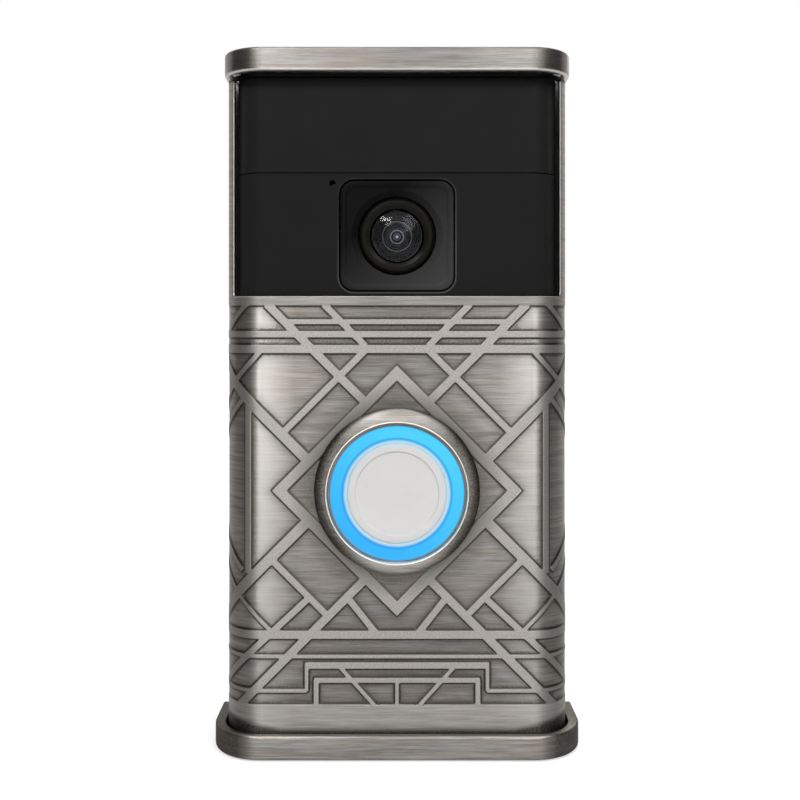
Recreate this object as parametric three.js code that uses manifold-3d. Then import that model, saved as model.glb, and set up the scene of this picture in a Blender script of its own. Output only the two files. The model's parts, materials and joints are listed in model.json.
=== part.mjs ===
// A battery video doorbell inside a decorative cast metal cover.
// Lengths are in millimetres. X runs to the right, +Y runs from the viewer into the wall, +Z is up.
// The origin is the middle of the face that lies on the wall.

import * as THREE from 'three';
import { mergeVertices } from 'three/addons/utils/BufferGeometryUtils.js';
import Module from 'manifold-3d';

const wasm = await Module();
wasm.setup();

// Driving sizes of the doorbell body
const bodyWidth = 62;
const bodyHeight = 126.5;
const bodyDepth = 28;
const bodyCornerRadius = 2.5;
const wallThickness = 2.4;
const frontWallThickness = 1.8;
const rearWallThickness = 2.2;
const frontHousingDepth = 15.3;
const rearEdgeChamfer = 0.5;

// Clearances
const touchGap = 0.3;
const coverGap = 0.5;
const overrun = 1;

// Facets of round stretches
const fineSteps = 36;
const roundSteps = 20;
const smallSteps = 12;
const screwSteps = 8;
const domeSteps = 4;
const elementSteps = 3;
const bezelArcSteps = 3;
const cornerArcSteps = 2;
const closureArcSteps = 4;
const quarterTurn = Math.PI / 2;
const foldSnap = 0.01;
const facetTolerance = 0.004;

// The metal cover
const coverThickness = 1.3;
const coverFrontGap = 0.7;
const coverCornerRadius = 7.2;
const coverCornerFacets = 6;
const coverSideDepth = 15;
const coverTopGap = 1.5;
const windowSideStep = 0.2;
const topRailHeight = 0.7;
const reliefDepth = 0.45;
const headBand = 1.67;
const footBand = 7.49;

// The hood and the tray that close the cover
const hoodHeight = 4.5;
const hoodTopThickness = 1.6;
const hoodOverhang = 1;
const hoodSideOverhang = 0.7;
const trayHeight = 4.6;
const trayFloorThickness = 1.5;
const trayOverhang = 3;
const traySideOverhang = 2.4;
const trayRimFront = 1.1;
const rimChamfer = 0.4;

// The relief: one lattice drawn from the middle of the diamond round the button
const diamondReach = 22.24;
const broadRib = 1.87;
const mainRib = 1.48;
const plainRib = 1.15;
const slimRib = 0.88;
const thinRib = 0.64;

// The ring on the cover round the button
const bossGap = 0.9;
const bossWidth = 2;
const bossRise = 1.8;
const bossChamfer = 0.5;

// The button, its light and its switch
const buttonDrop = 0.5;
const buttonRadius = 9.5;
const buttonProud = 0.3;
const buttonFaceThickness = 1.6;
const buttonSkirtDepth = 2;
const buttonSkirtThickness = 1.2;
const buttonRimWidth = 1.5;
const buttonDishDepth = 0.25;
const buttonTravel = 0.6;
const lightRingWidth = 2.9;
const lightRingProud = 2.1;
const lightRingLength = 6.1;
const lightRingChamfer = 0.5;
const ringCollarThickness = 1.4;
const padInnerRadius = 4.8;
const padThickness = 1.5;
const switchSide = 6;
const switchThickness = 3.2;
const plungerRadius = 1.6;
const plungerProud = 1.1;
const plungerLength = 2.2;
const plungerFloor = 0.5;
const ledCount = 6;
const ledSide = 1.6;
const ledThickness = 0.8;
const boardThickness = 1.2;
const boardSpacing = 0.9;

// The camera
const bezelSeamGap = 1.55;
const bezelSillGap = 1.15;
const bezelWidth = 21.6;
const bezelHeight = 20.9;
const bezelCornerRadius = 2.6;
const bezelThickness = 3;
const bezelDishRadius = 9.2;
const bezelDishDepth = 0.8;
const lensRingRadius = 7.2;
const lensRingBore = 5.2;
const lensRingProud = 0.1;
const lensRingLength = 3;
const domeRadius = 4.9;
const domeRise = 1.1;
const domeThickness = 0.7;
const barrelRadius = 4;
const barrelBore = 2.7;
const barrelFlangeRadius = 4.7;
const barrelFlangeThickness = 0.8;
const barrelSetback = 1.5;
const elementThickness = 1;
const elementCrown = 0.5;
const elementPlaceShares = [0.15, 0.61];
const holderSide = 14;
const holderSleeveShare = 0.45;
const holderSleeveRadius = 5.4;
const holderBaseThickness = 2.6;
const sensorSide = 5.6;
const sensorThickness = 0.9;
const cameraBoardInset = 5.1;
const cameraBoardDrop = 11.4;
const cameraBoardHeight = 21.5;
const infraredInset = 2.5;
const infraredRadius = 2.5;
const infraredFlangeRadius = 2.9;
const infraredLengthShare = 0.593;
const infraredFlangeThickness = 1;
const infraredLeadRadius = 0.35;
const infraredLeadPlace = 1.27;
const infraredDomeShares = [[0, 0], [0.55, 0.15], [0.9, 0.55], [1, 1]];

// Motion sensing, behind the upper window
const seamDrop = 19.95;
const windowThickness = 1.5;
const windowWrapDepth = 6;
const windowEdgeChamfer = 0.5;
const motionOpeningInset = 7.6;
const motionOpeningRise = 3.2;
const motionOpeningDrop = 3.75;
const motionLensThickness = 0.8;
const motionLensRadius = 3.4;
const motionLensCrown = 0.7;
const motionLensShoulderShares = [0.6, 0.7];
const motionLensCount = 5;
const motionSensorShare = 0.476;
const motionSensorRadius = 4.1;
const motionSensorLength = 3.5;
const motionSensorBrimRadius = 4.6;
const motionSensorBrimThickness = 0.6;
const motionSensorWindow = 3.6;
const motionSensorWindowDepth = 0.4;
const sensorBoardMargin = 0.75;
const sensorBoardDepth = 5.7;
const sensorScrewSpacing = 5.2;
const sensorScrewInset = 3.5;
const sensorScrewRise = 3.4;

// The microphone
const microphoneSpacing = 1.5;
const microphoneDrop = 2;
const microphoneHoleRadius = 0.65;
const microphoneWidth = 3.6;
const microphoneThickness = 1;
const microphoneBootRadius = 1.7;

// The speaker
const speakerRise = 3.35;
const speakerSpacing = 1.6;
const speakerRadius = 12;
const speakerDepth = 4;
const speakerRimWidth = 1.6;
const speakerFloorThickness = 0.9;
const speakerMagnetRadius = 7;
const speakerMagnetSetback = 2.2;
const speakerFloorBore = 4.2;
const coneThickness = 0.5;
const coneDepth = 2;
const coneCapRadius = 3.4;
const grilleSlotCount = 5;
const grilleSlotPitch = 3.2;
const grilleSlotWidth = 1.4;
const grilleSlotLength = 15;

// The main board and what is on it
const mainBoardRise = 2.85;
const mainBoardCornerRadius = 1.5;
const mainPostSideInset = 3;
const mainPostInset = 3.4;
const shieldWidth = 22;
const shieldHeight = 16;
const shieldDrop = 23;
const shieldThickness = 1.3;
const shieldWall = 0.3;
const antennaWidth = 8;
const antennaThickness = 0.6;
const antennaSetback = 0.9;

// The battery
const batterySideGap = 1.1;
const batteryFrontGap = 1;
const batteryRise = 3.85;
const batteryDrop = 6;
const batteryEdgeRadius = 3;
const batteryEdgeShare = 0.45;
const batteryCapLength = 5;
const batteryCapStep = 0.6;

// Posts, screws and holes
const postRadius = 2.4;
const smallScrewRadius = 0.8;
const smallHeadRadius = 1.9;
const smallHeadThickness = 1;
const smallScrewLength = 3.6;
const mountHoleRadius = 2.2;
const mountPostRadius = 4.3;
const mountChannelRadius = 4.1;
const mountChannelThickness = 1.2;
const mountInset = 5.6;
const mountDrop = 1.6;
const mountRise = 6.75;
const housingScrewInset = 5;
const housingScrewDrop = 5.75;
const housingScrewRise = 30.25;
const housingScrewRadius = 1.2;
const housingHeadRadius = 2.2;
const housingHeadThickness = 1.4;
const housingHeadSink = 0.5;
const housingScrewLength = 14;
const housingBossRadius = 3.2;
const sealWidth = 0.8;
const sealThickness = 1.1;
const securityHeadRadius = 2.7;
const securityHeadThickness = 1.1;
const securityScrewRadius = 1.25;
const securityScrewLength = 5.6;
const securityBossRadius = 3.4;
const securityBossRise = 1.4;
const securityDepth = 9;

// Charging socket, setup button and terminals in the rear face
const powerBoardDrop = 9.85;
const powerBoardHeight = 28;
const powerBoardDepth = 5.8;
const powerPostInset = 3;
const socketInset = 8;
const socketDrop = 9;
const socketWidth = 8.6;
const socketThickness = 3.4;
const socketWall = 0.4;
const socketTongueThickness = 0.8;
const socketTongueWidth = 5.2;
const socketTongueSetback = 0.6;
const socketMouthDepth = 4.2;
const socketSink = 0.9;
const socketMarginWidth = 2;
const socketMarginHeight = 1.8;
const setupRadius = 3;
const setupSink = 0.5;
const setupLength = 3.3;
const setupTravel = 0.4;
const setupBrim = 0.9;
const setupBrimThickness = 0.7;
const setupNubRadius = 1.2;
const setupNubLength = 0.4;
const terminalPlace = 6;
const terminalRise = 5.5;
const terminalHeadRadius = 3.2;
const terminalHeadThickness = 1.5;
const terminalScrewRadius = 1.4;
const terminalPocketRadius = 4;
const terminalPocketDepth = 2.3;
const terminalBlockWidth = 23;
const terminalBlockHeight = 11;
const terminalBlockThickness = 3;

// Planes across the depth, worked out from the sizes above
const bodyFront = -bodyDepth;
const frontInner = bodyFront + frontWallThickness;
const rearInner = -rearWallThickness;
const partingRear = bodyFront + frontHousingDepth;
const partingFront = partingRear - touchGap;
const coverInner = bodyFront - coverFrontGap;
const coverFront = coverInner - coverThickness;
const coverRear = coverFront + coverSideDepth;
const windowRear = bodyFront + windowWrapDepth;
const stepWall = windowThickness + touchGap + frontWallThickness;
const lightRingFront = bodyFront - lightRingProud;
const lightRingRear = lightRingFront + lightRingLength;
const ringBoardFront = lightRingRear + touchGap + ledThickness + touchGap;
const buttonFront = lightRingFront - buttonProud;
const switchFront = ringBoardFront - touchGap - switchThickness;
const mainBoardRear = partingFront - touchGap * 2;
const mainBoardFront = mainBoardRear - boardThickness;
const cameraBoardRear = partingFront - touchGap * 2;
const cameraBoardFront = cameraBoardRear - boardThickness;
const sensorBoardFront = frontInner + sensorBoardDepth;
const powerBoardRear = rearInner - powerBoardDepth + boardThickness;
const powerBoardFront = powerBoardRear - boardThickness;

// Places across the width
const bodySide = bodyWidth / 2;
const innerSide = bodySide - wallThickness;
const coverInnerSide = bodySide + coverGap;
const coverSide = coverInnerSide + coverThickness;
const coverFlat = coverSide - coverCornerRadius;
const coverArc = coverCornerRadius * quarterTurn;
const coverReach = coverFlat + coverArc + coverSideDepth - coverCornerRadius;
const lightRingBore = buttonRadius + touchGap;
const lightRingOuterRadius = lightRingBore + lightRingWidth;
const bossInnerRadius = lightRingOuterRadius + bossGap;
const bossOuterRadius = bossInnerRadius + bossWidth;
const ringBoardRadius = lightRingOuterRadius + touchGap + ringCollarThickness;
const mountPlace = bodySide - mountInset;
const mountReach = mountChannelRadius + mountChannelThickness;
const housingScrewPlace = bodySide - housingScrewInset;
const cameraBoardHalf = innerSide - cameraBoardInset;
const infraredPlace = cameraBoardHalf - infraredInset;
const motionOpeningHalf = innerSide - motionOpeningInset;
const microphonePlace = -bezelWidth / 2 - microphoneSpacing;
const sensorScrewPlace = sensorScrewSpacing - microphonePlace;
const sensorBoardHalf = sensorScrewPlace + sensorScrewInset;
const mainBoardHalf = mountPlace - mountReach - touchGap * 2;
const mainPostPlace = mainBoardHalf - mainPostSideInset;
const rearBayHalf = mountPlace - mountPostRadius - batterySideGap;
const socketPlace = rearBayHalf - socketInset;

// Heights, down from the top of the body
const bodyTop = bodyHeight / 2;
const innerTop = bodyTop - wallThickness;
const coverTop = bodyTop - coverTopGap;
const hoodBottom = coverTop + touchGap;
const hoodTop = hoodBottom + hoodHeight;
const seamHeight = bodyTop - seamDrop;
const motionBottom = seamHeight + motionOpeningRise;
const motionTop = bodyTop - motionOpeningDrop;
const cameraHeight = seamHeight - bezelSeamGap - bezelHeight / 2;
const windowBottomHeight = cameraHeight - bezelHeight / 2 - bezelSillGap;
const cameraBoardBottom = cameraHeight - cameraBoardDrop;
const mainBoardTop = cameraBoardBottom - boardSpacing;
const mountHighHeight = cameraBoardBottom - mountDrop - mountReach;
const housingScrewHigh = bodyTop - housingScrewDrop;
const powerBoardTop = innerTop - powerBoardDrop;
const powerBoardBottom = powerBoardTop - powerBoardHeight;
const socketHeight = powerBoardTop - socketDrop;
const terminalHeight = powerBoardBottom + terminalRise;
const setupCentre = [-socketPlace, socketHeight];

// Heights, up from the bottom of the body
const bodyBottom = -bodyTop;
const innerBottom = -innerTop;
const trayRimTop = -(coverTop + touchGap);
const trayBottom = trayRimTop - trayHeight;
const trayFloor = trayBottom + trayFloorThickness;
const coverBottom = trayFloor + touchGap;
const mountLowHeight = bodyBottom + mountRise;
const housingScrewLow = bodyBottom + housingScrewRise;
const mainBoardBottom = innerBottom + mainBoardRise;
const batteryHeights = [innerBottom + batteryRise, powerBoardBottom - batteryDrop];
const speakerHeight = innerBottom + speakerRise + speakerRadius;
const buttonHeight = speakerHeight + speakerRadius + speakerSpacing + ringBoardRadius;
const diamondHeight = buttonHeight + buttonDrop;

// Materials, in the colours of the photograph

function finish(color, roughness, metalness) {
  return new THREE.MeshStandardMaterial({ color, roughness, metalness });
}

const brushedNickel = () => finish(0xa39e96, 0.38, 0.95);
const blackPlastic = () => finish(0x1c1c1d, 0.35, 0);
const glossBlack = () => finish(0x0e0e10, 0.12, 0);
const clearGlass = () => finish(0x202830, 0.05, 0);
const whitePlastic = () => finish(0xd6d6d6, 0.45, 0);
const blueLight = () => finish(0x40c3fc, 0.3, 0);
const boardGreen = () => finish(0x1f5a3a, 0.5, 0.1);
const steel = () => finish(0xb9bcc0, 0.3, 0.9);
const darkRubber = () => finish(0x26262a, 0.85, 0);
const orangePlastic = () => finish(0xe8742a, 0.4, 0);
const batteryWrap = () => finish(0x3a5fa8, 0.45, 0);

// Solids

function toSolid(geometry) {
  geometry.deleteAttribute('normal');
  geometry.deleteAttribute('uv');
  const merged = mergeVertices(geometry);
  const positions = merged.attributes.position.array;
  const index = merged.index.array;
  const triangles = [];
  let volume = 0;
  const a = new THREE.Vector3();
  const b = new THREE.Vector3();
  const c = new THREE.Vector3();
  for (let i = 0; i < index.length; i += 3) {
    const [p, q, r] = [index[i], index[i + 1], index[i + 2]];
    if (p === q || q === r || r === p) continue;
    triangles.push(p, q, r);
    a.fromArray(positions, p * 3);
    b.fromArray(positions, q * 3);
    c.fromArray(positions, r * 3);
    volume += a.dot(b.cross(c));
  }
  if (volume < 0) triangles.reverse();
  return new wasm.Manifold(new wasm.Mesh({
    numProp: 3,
    vertProperties: new Float32Array(positions),
    triVerts: new Uint32Array(triangles),
  }));
}

// An outline run up along Z from zero, with an optional bevel inside both ends.
function extruded(shape, length, arcSteps, bevel) {
  const geometry = new THREE.ExtrudeGeometry(shape, {
    depth: length - bevel * 2,
    curveSegments: arcSteps,
    bevelEnabled: bevel > 0,
    bevelThickness: bevel,
    bevelSize: bevel,
    bevelOffset: -bevel,
    bevelSegments: 1,
  });
  geometry.translate(0, 0, bevel);
  return geometry;
}

// A shape drawn in X and Z, run from the plane y = front to y = back.
function slab(shape, front, back, arcSteps = cornerArcSteps, bevel = 0) {
  const geometry = extruded(shape, back - front, arcSteps, bevel);
  geometry.rotateX(quarterTurn);
  geometry.translate(0, back, 0);
  return toSolid(geometry);
}

// A plan outline, drawn with the front upward, run from z = bottom to z = top.
function raised(shape, bottom, top, arcSteps = coverCornerFacets / 2, bevel = 0) {
  const geometry = extruded(shape, top - bottom, arcSteps, bevel);
  geometry.scale(1, -1, 1);
  geometry.translate(0, 0, bottom);
  return toSolid(geometry);
}

function box([x0, x1], [y0, y1], [z0, z1]) {
  const geometry = new THREE.BoxGeometry(x1 - x0, y1 - y0, z1 - z0);
  geometry.translate((x0 + x1) / 2, (y0 + y1) / 2, (z0 + z1) / 2);
  return toSolid(geometry);
}

function disc(radius, [front, back], [x, z], steps = smallSteps) {
  const geometry = new THREE.CylinderGeometry(radius, radius, back - front, steps);
  geometry.translate(x, (front + back) / 2, z);
  return toSolid(geometry);
}

// A profile of [radius, y] pairs turned about an axis that runs along Y through (x, z).
function turned(profile, [x, z], steps = roundSteps) {
  const points = profile.map(([radius, y]) => new THREE.Vector2(radius, y));
  const geometry = new THREE.LatheGeometry(points, steps);
  geometry.translate(x, 0, z);
  return toSolid(geometry);
}

function ring(outer, inner, [front, back], [x, z], steps = roundSteps) {
  const profile = [[outer, front], [outer, back], [inner, back], [inner, front], [outer, front]];
  return turned(profile, [x, z], steps);
}

function roundedRectangle(halfWidth, bottom, top, radius) {
  const shape = new THREE.Shape();
  const side = halfWidth - radius;
  shape.absarc(side, bottom + radius, radius, -quarterTurn, 0, false);
  shape.absarc(side, top - radius, radius, 0, quarterTurn, false);
  shape.absarc(-side, top - radius, radius, quarterTurn, Math.PI, false);
  shape.absarc(-side, bottom + radius, radius, Math.PI, Math.PI + quarterTurn, false);
  shape.closePath();
  return shape;
}

function unite(solids) {
  return solids.reduce((all, next) => all.add(next));
}

const doorbell = new THREE.Group();

function addPiece(name, solid, material) {
  const mesh = solid.simplify(facetTolerance).getMesh();
  const geometry = new THREE.BufferGeometry();
  geometry.setAttribute('position', new THREE.BufferAttribute(mesh.vertProperties, 3));
  geometry.setIndex(new THREE.BufferAttribute(mesh.triVerts, 1));
  geometry.computeVertexNormals();
  const piece = new THREE.Mesh(geometry, material);
  piece.name = name;
  doorbell.add(piece);
}

// The cover's wall is drawn flat, with u along its outside, then bent round the two front corners.
// u is the distance from the middle line, and y in the flat drawing is the depth of the front wall.

// Ribs of the lattice, as shares of the diamond's reach, measured from the diamond's middle:
// where each starts, where it ends and how wide it is. Each is repeated on the other side.
const ribShares = [
  [[0, 1], [1, 0], broadRib],
  [[1, 0], [0, -1], broadRib],
  [[1.1, 1.58], [0.26, 0.74], mainRib],
  [[0.62, 1.58], [0.27, 1.23], plainRib],
  [[0.28, 1.18], [0.93, 0.53], plainRib],
  [[0.76, 0.26], [1.69, 1.19], broadRib],
  [[0.76, -0.26], [1.72, -1.22], broadRib],
  [[1.27, 0.72], [1.27, -0.7], plainRib],
  [[1.05, -0.6], [0.62, -1.03], plainRib],
  [[0.27, -0.75], [1.32, -1.8], mainRib],
  [[0.4, -0.93], [0.17, -1.22], plainRib],
  [[0.78, -0.94], [1.6, -1.7], plainRib],
  [[0.48, -1.5], [0.19, -1.82], thinRib],
  [[1.25, 1.62], [1.56, 1.33], slimRib],
  [[1.17, 1.17], [2.14, 0.19], slimRib],
  [[1.3, 0.8], [2.14, -0.04], slimRib],
  [[1.33, -0.68], [2.14, 0.13], slimRib],
  [[1.07, -1.19], [2.14, -0.11], thinRib],
];

// Level ribs on the front: height, half-length and width.
const levelShares = [
  [1.434, 0.92, slimRib],
  [-1.481, 0.78, plainRib],
  [-1.607, 0.7, slimRib],
];

// Level ribs that run round both sides: height, the place where each half starts and width.
const beltShares = [
  [1.328, 0, plainRib],
  [1.202, 0, mainRib],
  [-1.221, 0, mainRib],
  [-1.405, 0, thinRib],
  [-1.696, 0.767, thinRib],
];

// Upright ribs of the stepped frames at the foot: place, upper end, lower end and width.
const uprightShares = [
  [0.767, -1.481, -1.696, thinRib],
  [0.686, -1.607, -1.83, slimRib],
  [0, -1.607, -1.83, thinRib],
];

function flatRib([u0, z0], [u1, z1], width) {
  const start = new THREE.Vector2(u0, z0);
  const end = new THREE.Vector2(u1, z1);
  const across = end.clone().sub(start).normalize().multiplyScalar(width / 2);
  const sideways = new THREE.Vector2(-across.y, across.x);
  const corners = [
    start.clone().add(sideways),
    start.clone().sub(sideways),
    end.clone().sub(sideways),
    end.clone().add(sideways),
  ];
  return slab(new THREE.Shape(corners), coverFront, coverInner);
}

function flatRibs() {
  const at = ([u, z]) => [u * diamondReach, diamondHeight + z * diamondReach];
  const ribs = [];
  for (const side of [-1, 1]) {
    for (const [from, to, width] of ribShares) {
      ribs.push(flatRib(at([side * from[0], from[1]]), at([side * to[0], to[1]]), width));
    }
    for (const [place, upper, lower, width] of uprightShares) {
      ribs.push(flatRib(at([side * place, upper]), at([side * place, lower]), width));
    }
    for (const [height, start, width] of beltShares) {
      const from = at([side * start, height]);
      ribs.push(flatRib(from, [side * coverReach, from[1]], width));
    }
  }
  for (const [height, half, width] of levelShares) {
    ribs.push(flatRib(at([-half, height]), at([half, height]), width));
  }
  return unite(ribs);
}

function flatCover() {
  const across = [-coverReach, coverReach];
  const bandTop = windowBottomHeight - headBand;
  const bandBottom = coverBottom + footBand;
  const field = box(across, [coverFront - overrun, coverInner + overrun], [bandBottom, bandTop]);
  const wall = box(across, [coverFront + reliefDepth, coverInner], [coverBottom, coverTop]);
  const foot = box(across, [coverFront, coverInner], [coverBottom, bandBottom]);
  const head = box(across, [coverFront, coverInner], [bandTop, coverTop]);
  return unite([wall, foot, head, flatRibs().intersect(field)]);
}

// Adds points where triangles cross the upright line u = place, so that the wall can fold there.
function foldLine(wall, place) {
  const { points, triangles } = wall;
  for (let i = 0; i < points.length; i += 3) {
    if (Math.abs(points[i] - place) < foldSnap) points[i] = place;
  }
  const made = new Map();
  function crossing(p, q) {
    const [from, to] = p < q ? [p, q] : [q, p];
    const key = `${from} ${to}`;
    if (!made.has(key)) {
      const share = (place - points[from * 3]) / (points[to * 3] - points[from * 3]);
      made.set(key, points.length / 3);
      points.push(place);
      points.push(THREE.MathUtils.lerp(points[from * 3 + 1], points[to * 3 + 1], share));
      points.push(THREE.MathUtils.lerp(points[from * 3 + 2], points[to * 3 + 2], share));
    }
    return made.get(key);
  }
  const split = [];
  for (const triangle of triangles) {
    const sides = triangle.map((p) => Math.sign(points[p * 3] - place));
    if (!sides.includes(-1) || !sides.includes(1)) {
      split.push(triangle);
      continue;
    }
    const onLine = sides.indexOf(0);
    const alone = sides.findIndex((side) => sides.filter((other) => other === side).length === 1);
    const first = onLine >= 0 ? onLine : alone;
    const [a, b, c] = [0, 1, 2].map((k) => triangle[(first + k) % 3]);
    if (onLine >= 0) {
      const m = crossing(b, c);
      split.push([a, b, m], [a, m, c]);
    } else {
      const m = crossing(a, b);
      const n = crossing(a, c);
      split.push([a, m, n], [m, b, c], [m, c, n]);
    }
  }
  return { points, triangles: split };
}

// The place on the bent cover of a point of the flat drawing.
function bentPoint(flatU, y) {
  const side = flatU < 0 ? -1 : 1;
  const u = Math.abs(flatU);
  const centre = coverFront + coverCornerRadius;
  const reach = centre - y;
  if (u <= coverFlat) return [flatU, y];
  if (u >= coverFlat + coverArc) return [side * (coverFlat + reach), centre + u - coverFlat - coverArc];
  const step = quarterTurn / coverCornerFacets;
  const along = ((u - coverFlat) / coverArc) * coverCornerFacets;
  const facet = Math.floor(along);
  const share = along - facet;
  const sine = THREE.MathUtils.lerp(Math.sin(facet * step), Math.sin((facet + 1) * step), share);
  const cosine = THREE.MathUtils.lerp(Math.cos(facet * step), Math.cos((facet + 1) * step), share);
  return [side * (coverFlat + reach * sine), centre - reach * cosine];
}

function bentCover() {
  const mesh = flatCover().getMesh();
  const corners = Array.from(mesh.triVerts);
  const triangles = [];
  for (let i = 0; i < corners.length; i += 3) triangles.push(corners.slice(i, i + 3));
  let wall = { points: Array.from(mesh.vertProperties), triangles };
  for (let facet = 0; facet <= coverCornerFacets; facet += 1) {
    const place = coverFlat + (facet / coverCornerFacets) * coverArc;
    wall = foldLine(foldLine(wall, place), -place);
  }
  const { points } = wall;
  for (let i = 0; i < points.length; i += 3) {
    [points[i], points[i + 1]] = bentPoint(points[i], points[i + 1]);
  }
  return new wasm.Manifold(new wasm.Mesh({
    numProp: 3,
    vertProperties: new Float32Array(points),
    triVerts: new Uint32Array(wall.triangles.flat()),
  })).simplify(facetTolerance);
}

function buttonBoss() {
  const front = coverFront - bossRise;
  const profile = [
    [bossOuterRadius, coverInner],
    [bossOuterRadius, front + bossChamfer],
    [bossOuterRadius - bossChamfer, front],
    [bossInnerRadius + bossChamfer, front],
    [bossInnerRadius, front + bossChamfer],
    [bossInnerRadius, coverInner],
    [bossOuterRadius, coverInner],
  ];
  return turned(profile, [0, diamondHeight], fineSteps);
}

function coverShell() {
  const through = [coverFront - bossRise - overrun, coverInner + overrun];
  const opening = disc((bossOuterRadius + bossInnerRadius) / 2, through, [0, diamondHeight], fineSteps);
  const windowHalf = coverInnerSide - windowSideStep;
  const window = box(
    [-windowHalf, windowHalf],
    [coverFront - overrun, coverFront + coverCornerRadius],
    [windowBottomHeight, coverTop - topRailHeight],
  );
  return bentCover().subtract(opening).add(buttonBoss()).subtract(window);
}

// The outline of the hood or the tray seen from above, open at the back.
function closureOutline(side, front, rear, radius) {
  const shape = new THREE.Shape();
  shape.moveTo(-side, -rear);
  shape.lineTo(side, -rear);
  shape.absarc(side - radius, -front - radius, radius, 0, quarterTurn, false);
  shape.absarc(-side + radius, -front - radius, radius, quarterTurn, Math.PI, false);
  shape.closePath();
  return shape;
}

function bevelled(side, front, rear, radius, bottom, top) {
  return raised(closureOutline(side, front, rear, radius), bottom, top, closureArcSteps, rimChamfer);
}

function hoodCap() {
  const side = coverSide + hoodSideOverhang;
  const front = coverFront - hoodOverhang;
  const radius = coverCornerRadius + hoodSideOverhang;
  const pocketSide = bodySide + touchGap;
  const pocket = box(
    [-pocketSide, pocketSide],
    [bodyFront - touchGap, coverRear + overrun],
    [hoodBottom - overrun, hoodTop - hoodTopThickness],
  );
  return bevelled(side, front, coverRear, radius, hoodBottom, hoodTop).subtract(pocket);
}

function baseTray() {
  const side = coverSide + traySideOverhang;
  const front = coverFront - trayOverhang;
  const radius = coverCornerRadius + traySideOverhang;
  const pocketOutline = closureOutline(
    coverSide + touchGap,
    front + trayRimFront,
    coverRear + overrun,
    coverCornerRadius + touchGap,
  );
  const pocket = raised(pocketOutline, trayFloor, trayRimTop + overrun);
  const holeRadius = securityScrewRadius + touchGap;
  const hole = upright(disc(holeRadius, [-overrun, trayFloorThickness + overrun], [0, 0]), trayBottom);
  const sinkDepth = securityHeadThickness + touchGap;
  const sink = upright(disc(securityHeadRadius + touchGap, [-overrun, sinkDepth], [0, 0]), trayBottom);
  return bevelled(side, front, coverRear, radius, trayBottom, trayRimTop)
    .subtract(pocket)
    .subtract(hole)
    .subtract(sink);
}

// Stands a solid that was made along Y up along Z, at the place of the security screw.
function upright(solid, base) {
  const mesh = solid.getMesh();
  const points = mesh.vertProperties;
  const screwY = coverRear - securityDepth;
  for (let i = 0; i < points.length; i += 3) {
    const [x, y, z] = points.slice(i, i + 3);
    points[i] = x;
    points[i + 1] = screwY - z;
    points[i + 2] = base + y;
  }
  return new wasm.Manifold(mesh);
}

function securityScrew() {
  const end = securityHeadThickness + securityScrewLength;
  const profile = [
    [0, 0],
    [securityHeadRadius, 0],
    [securityHeadRadius, securityHeadThickness],
    [securityScrewRadius, securityHeadThickness],
    [securityScrewRadius, end],
    [0, end],
  ];
  return upright(turned(profile, [0, 0], smallSteps), trayBottom);
}

// The doorbell body

function bodyOutline(inset = 0) {
  const radius = Math.max(bodyCornerRadius - inset, touchGap);
  return roundedRectangle(bodySide - inset, inset - bodyTop, bodyTop - inset, radius);
}

// The front half's outside, or a skin's distance inside it. Its upright edges fit the cover's corners.
function frontBlock(inset, front, rear, bevel = 0) {
  const flat = bodySide - (coverCornerRadius - coverThickness - coverGap);
  const plan = closureOutline(bodySide - inset, front, rear + overrun, bodySide - flat - inset);
  const face = slab(bodyOutline(inset), front, rear + overrun, cornerArcSteps, bevel);
  const keep = box([-bodyWidth, bodyWidth], [front - overrun, rear], [-bodyHeight, bodyHeight]);
  return face.intersect(raised(plan, -bodyHeight, bodyHeight)).intersect(keep);
}

const mountPlaces = [
  [-mountPlace, mountHighHeight],
  [mountPlace, mountHighHeight],
  [-mountPlace, mountLowHeight],
  [mountPlace, mountLowHeight],
];

const housingScrewPlaces = [
  [-housingScrewPlace, housingScrewHigh],
  [housingScrewPlace, housingScrewHigh],
  [-housingScrewPlace, housingScrewLow],
  [housingScrewPlace, housingScrewLow],
];

const mainPostPlaces = [
  [-mainPostPlace, mainBoardTop - mainPostInset],
  [mainPostPlace, mainBoardTop - mainPostInset],
  [-mainPostPlace, mainBoardBottom + mainPostInset],
  [mainPostPlace, mainBoardBottom + mainPostInset],
];

const sensorScrewPlaces = [
  [-sensorScrewPlace, seamHeight - sensorScrewRise + touchGap],
  [sensorScrewPlace, seamHeight - sensorScrewRise + touchGap],
];

const microphoneCentre = [microphonePlace, seamHeight - microphoneDrop];
const buttonCentre = [0, buttonHeight];

function cameraOutline(grow) {
  const half = bezelWidth / 2 + grow;
  const bottom = cameraHeight - bezelHeight / 2 - grow;
  const top = cameraHeight + bezelHeight / 2 + grow;
  return roundedRectangle(half, bottom, top, bezelCornerRadius + grow);
}

function speakerSlots() {
  const slots = [];
  for (let i = 0; i < grilleSlotCount; i += 1) {
    const middle = speakerHeight + (i - (grilleSlotCount - 1) / 2) * grilleSlotPitch;
    const heights = [middle - grilleSlotWidth / 2, middle + grilleSlotWidth / 2];
    const depths = [bodyFront - overrun, frontInner + overrun];
    slots.push(box([-grilleSlotLength / 2, grilleSlotLength / 2], depths, heights));
  }
  return unite(slots);
}

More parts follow.
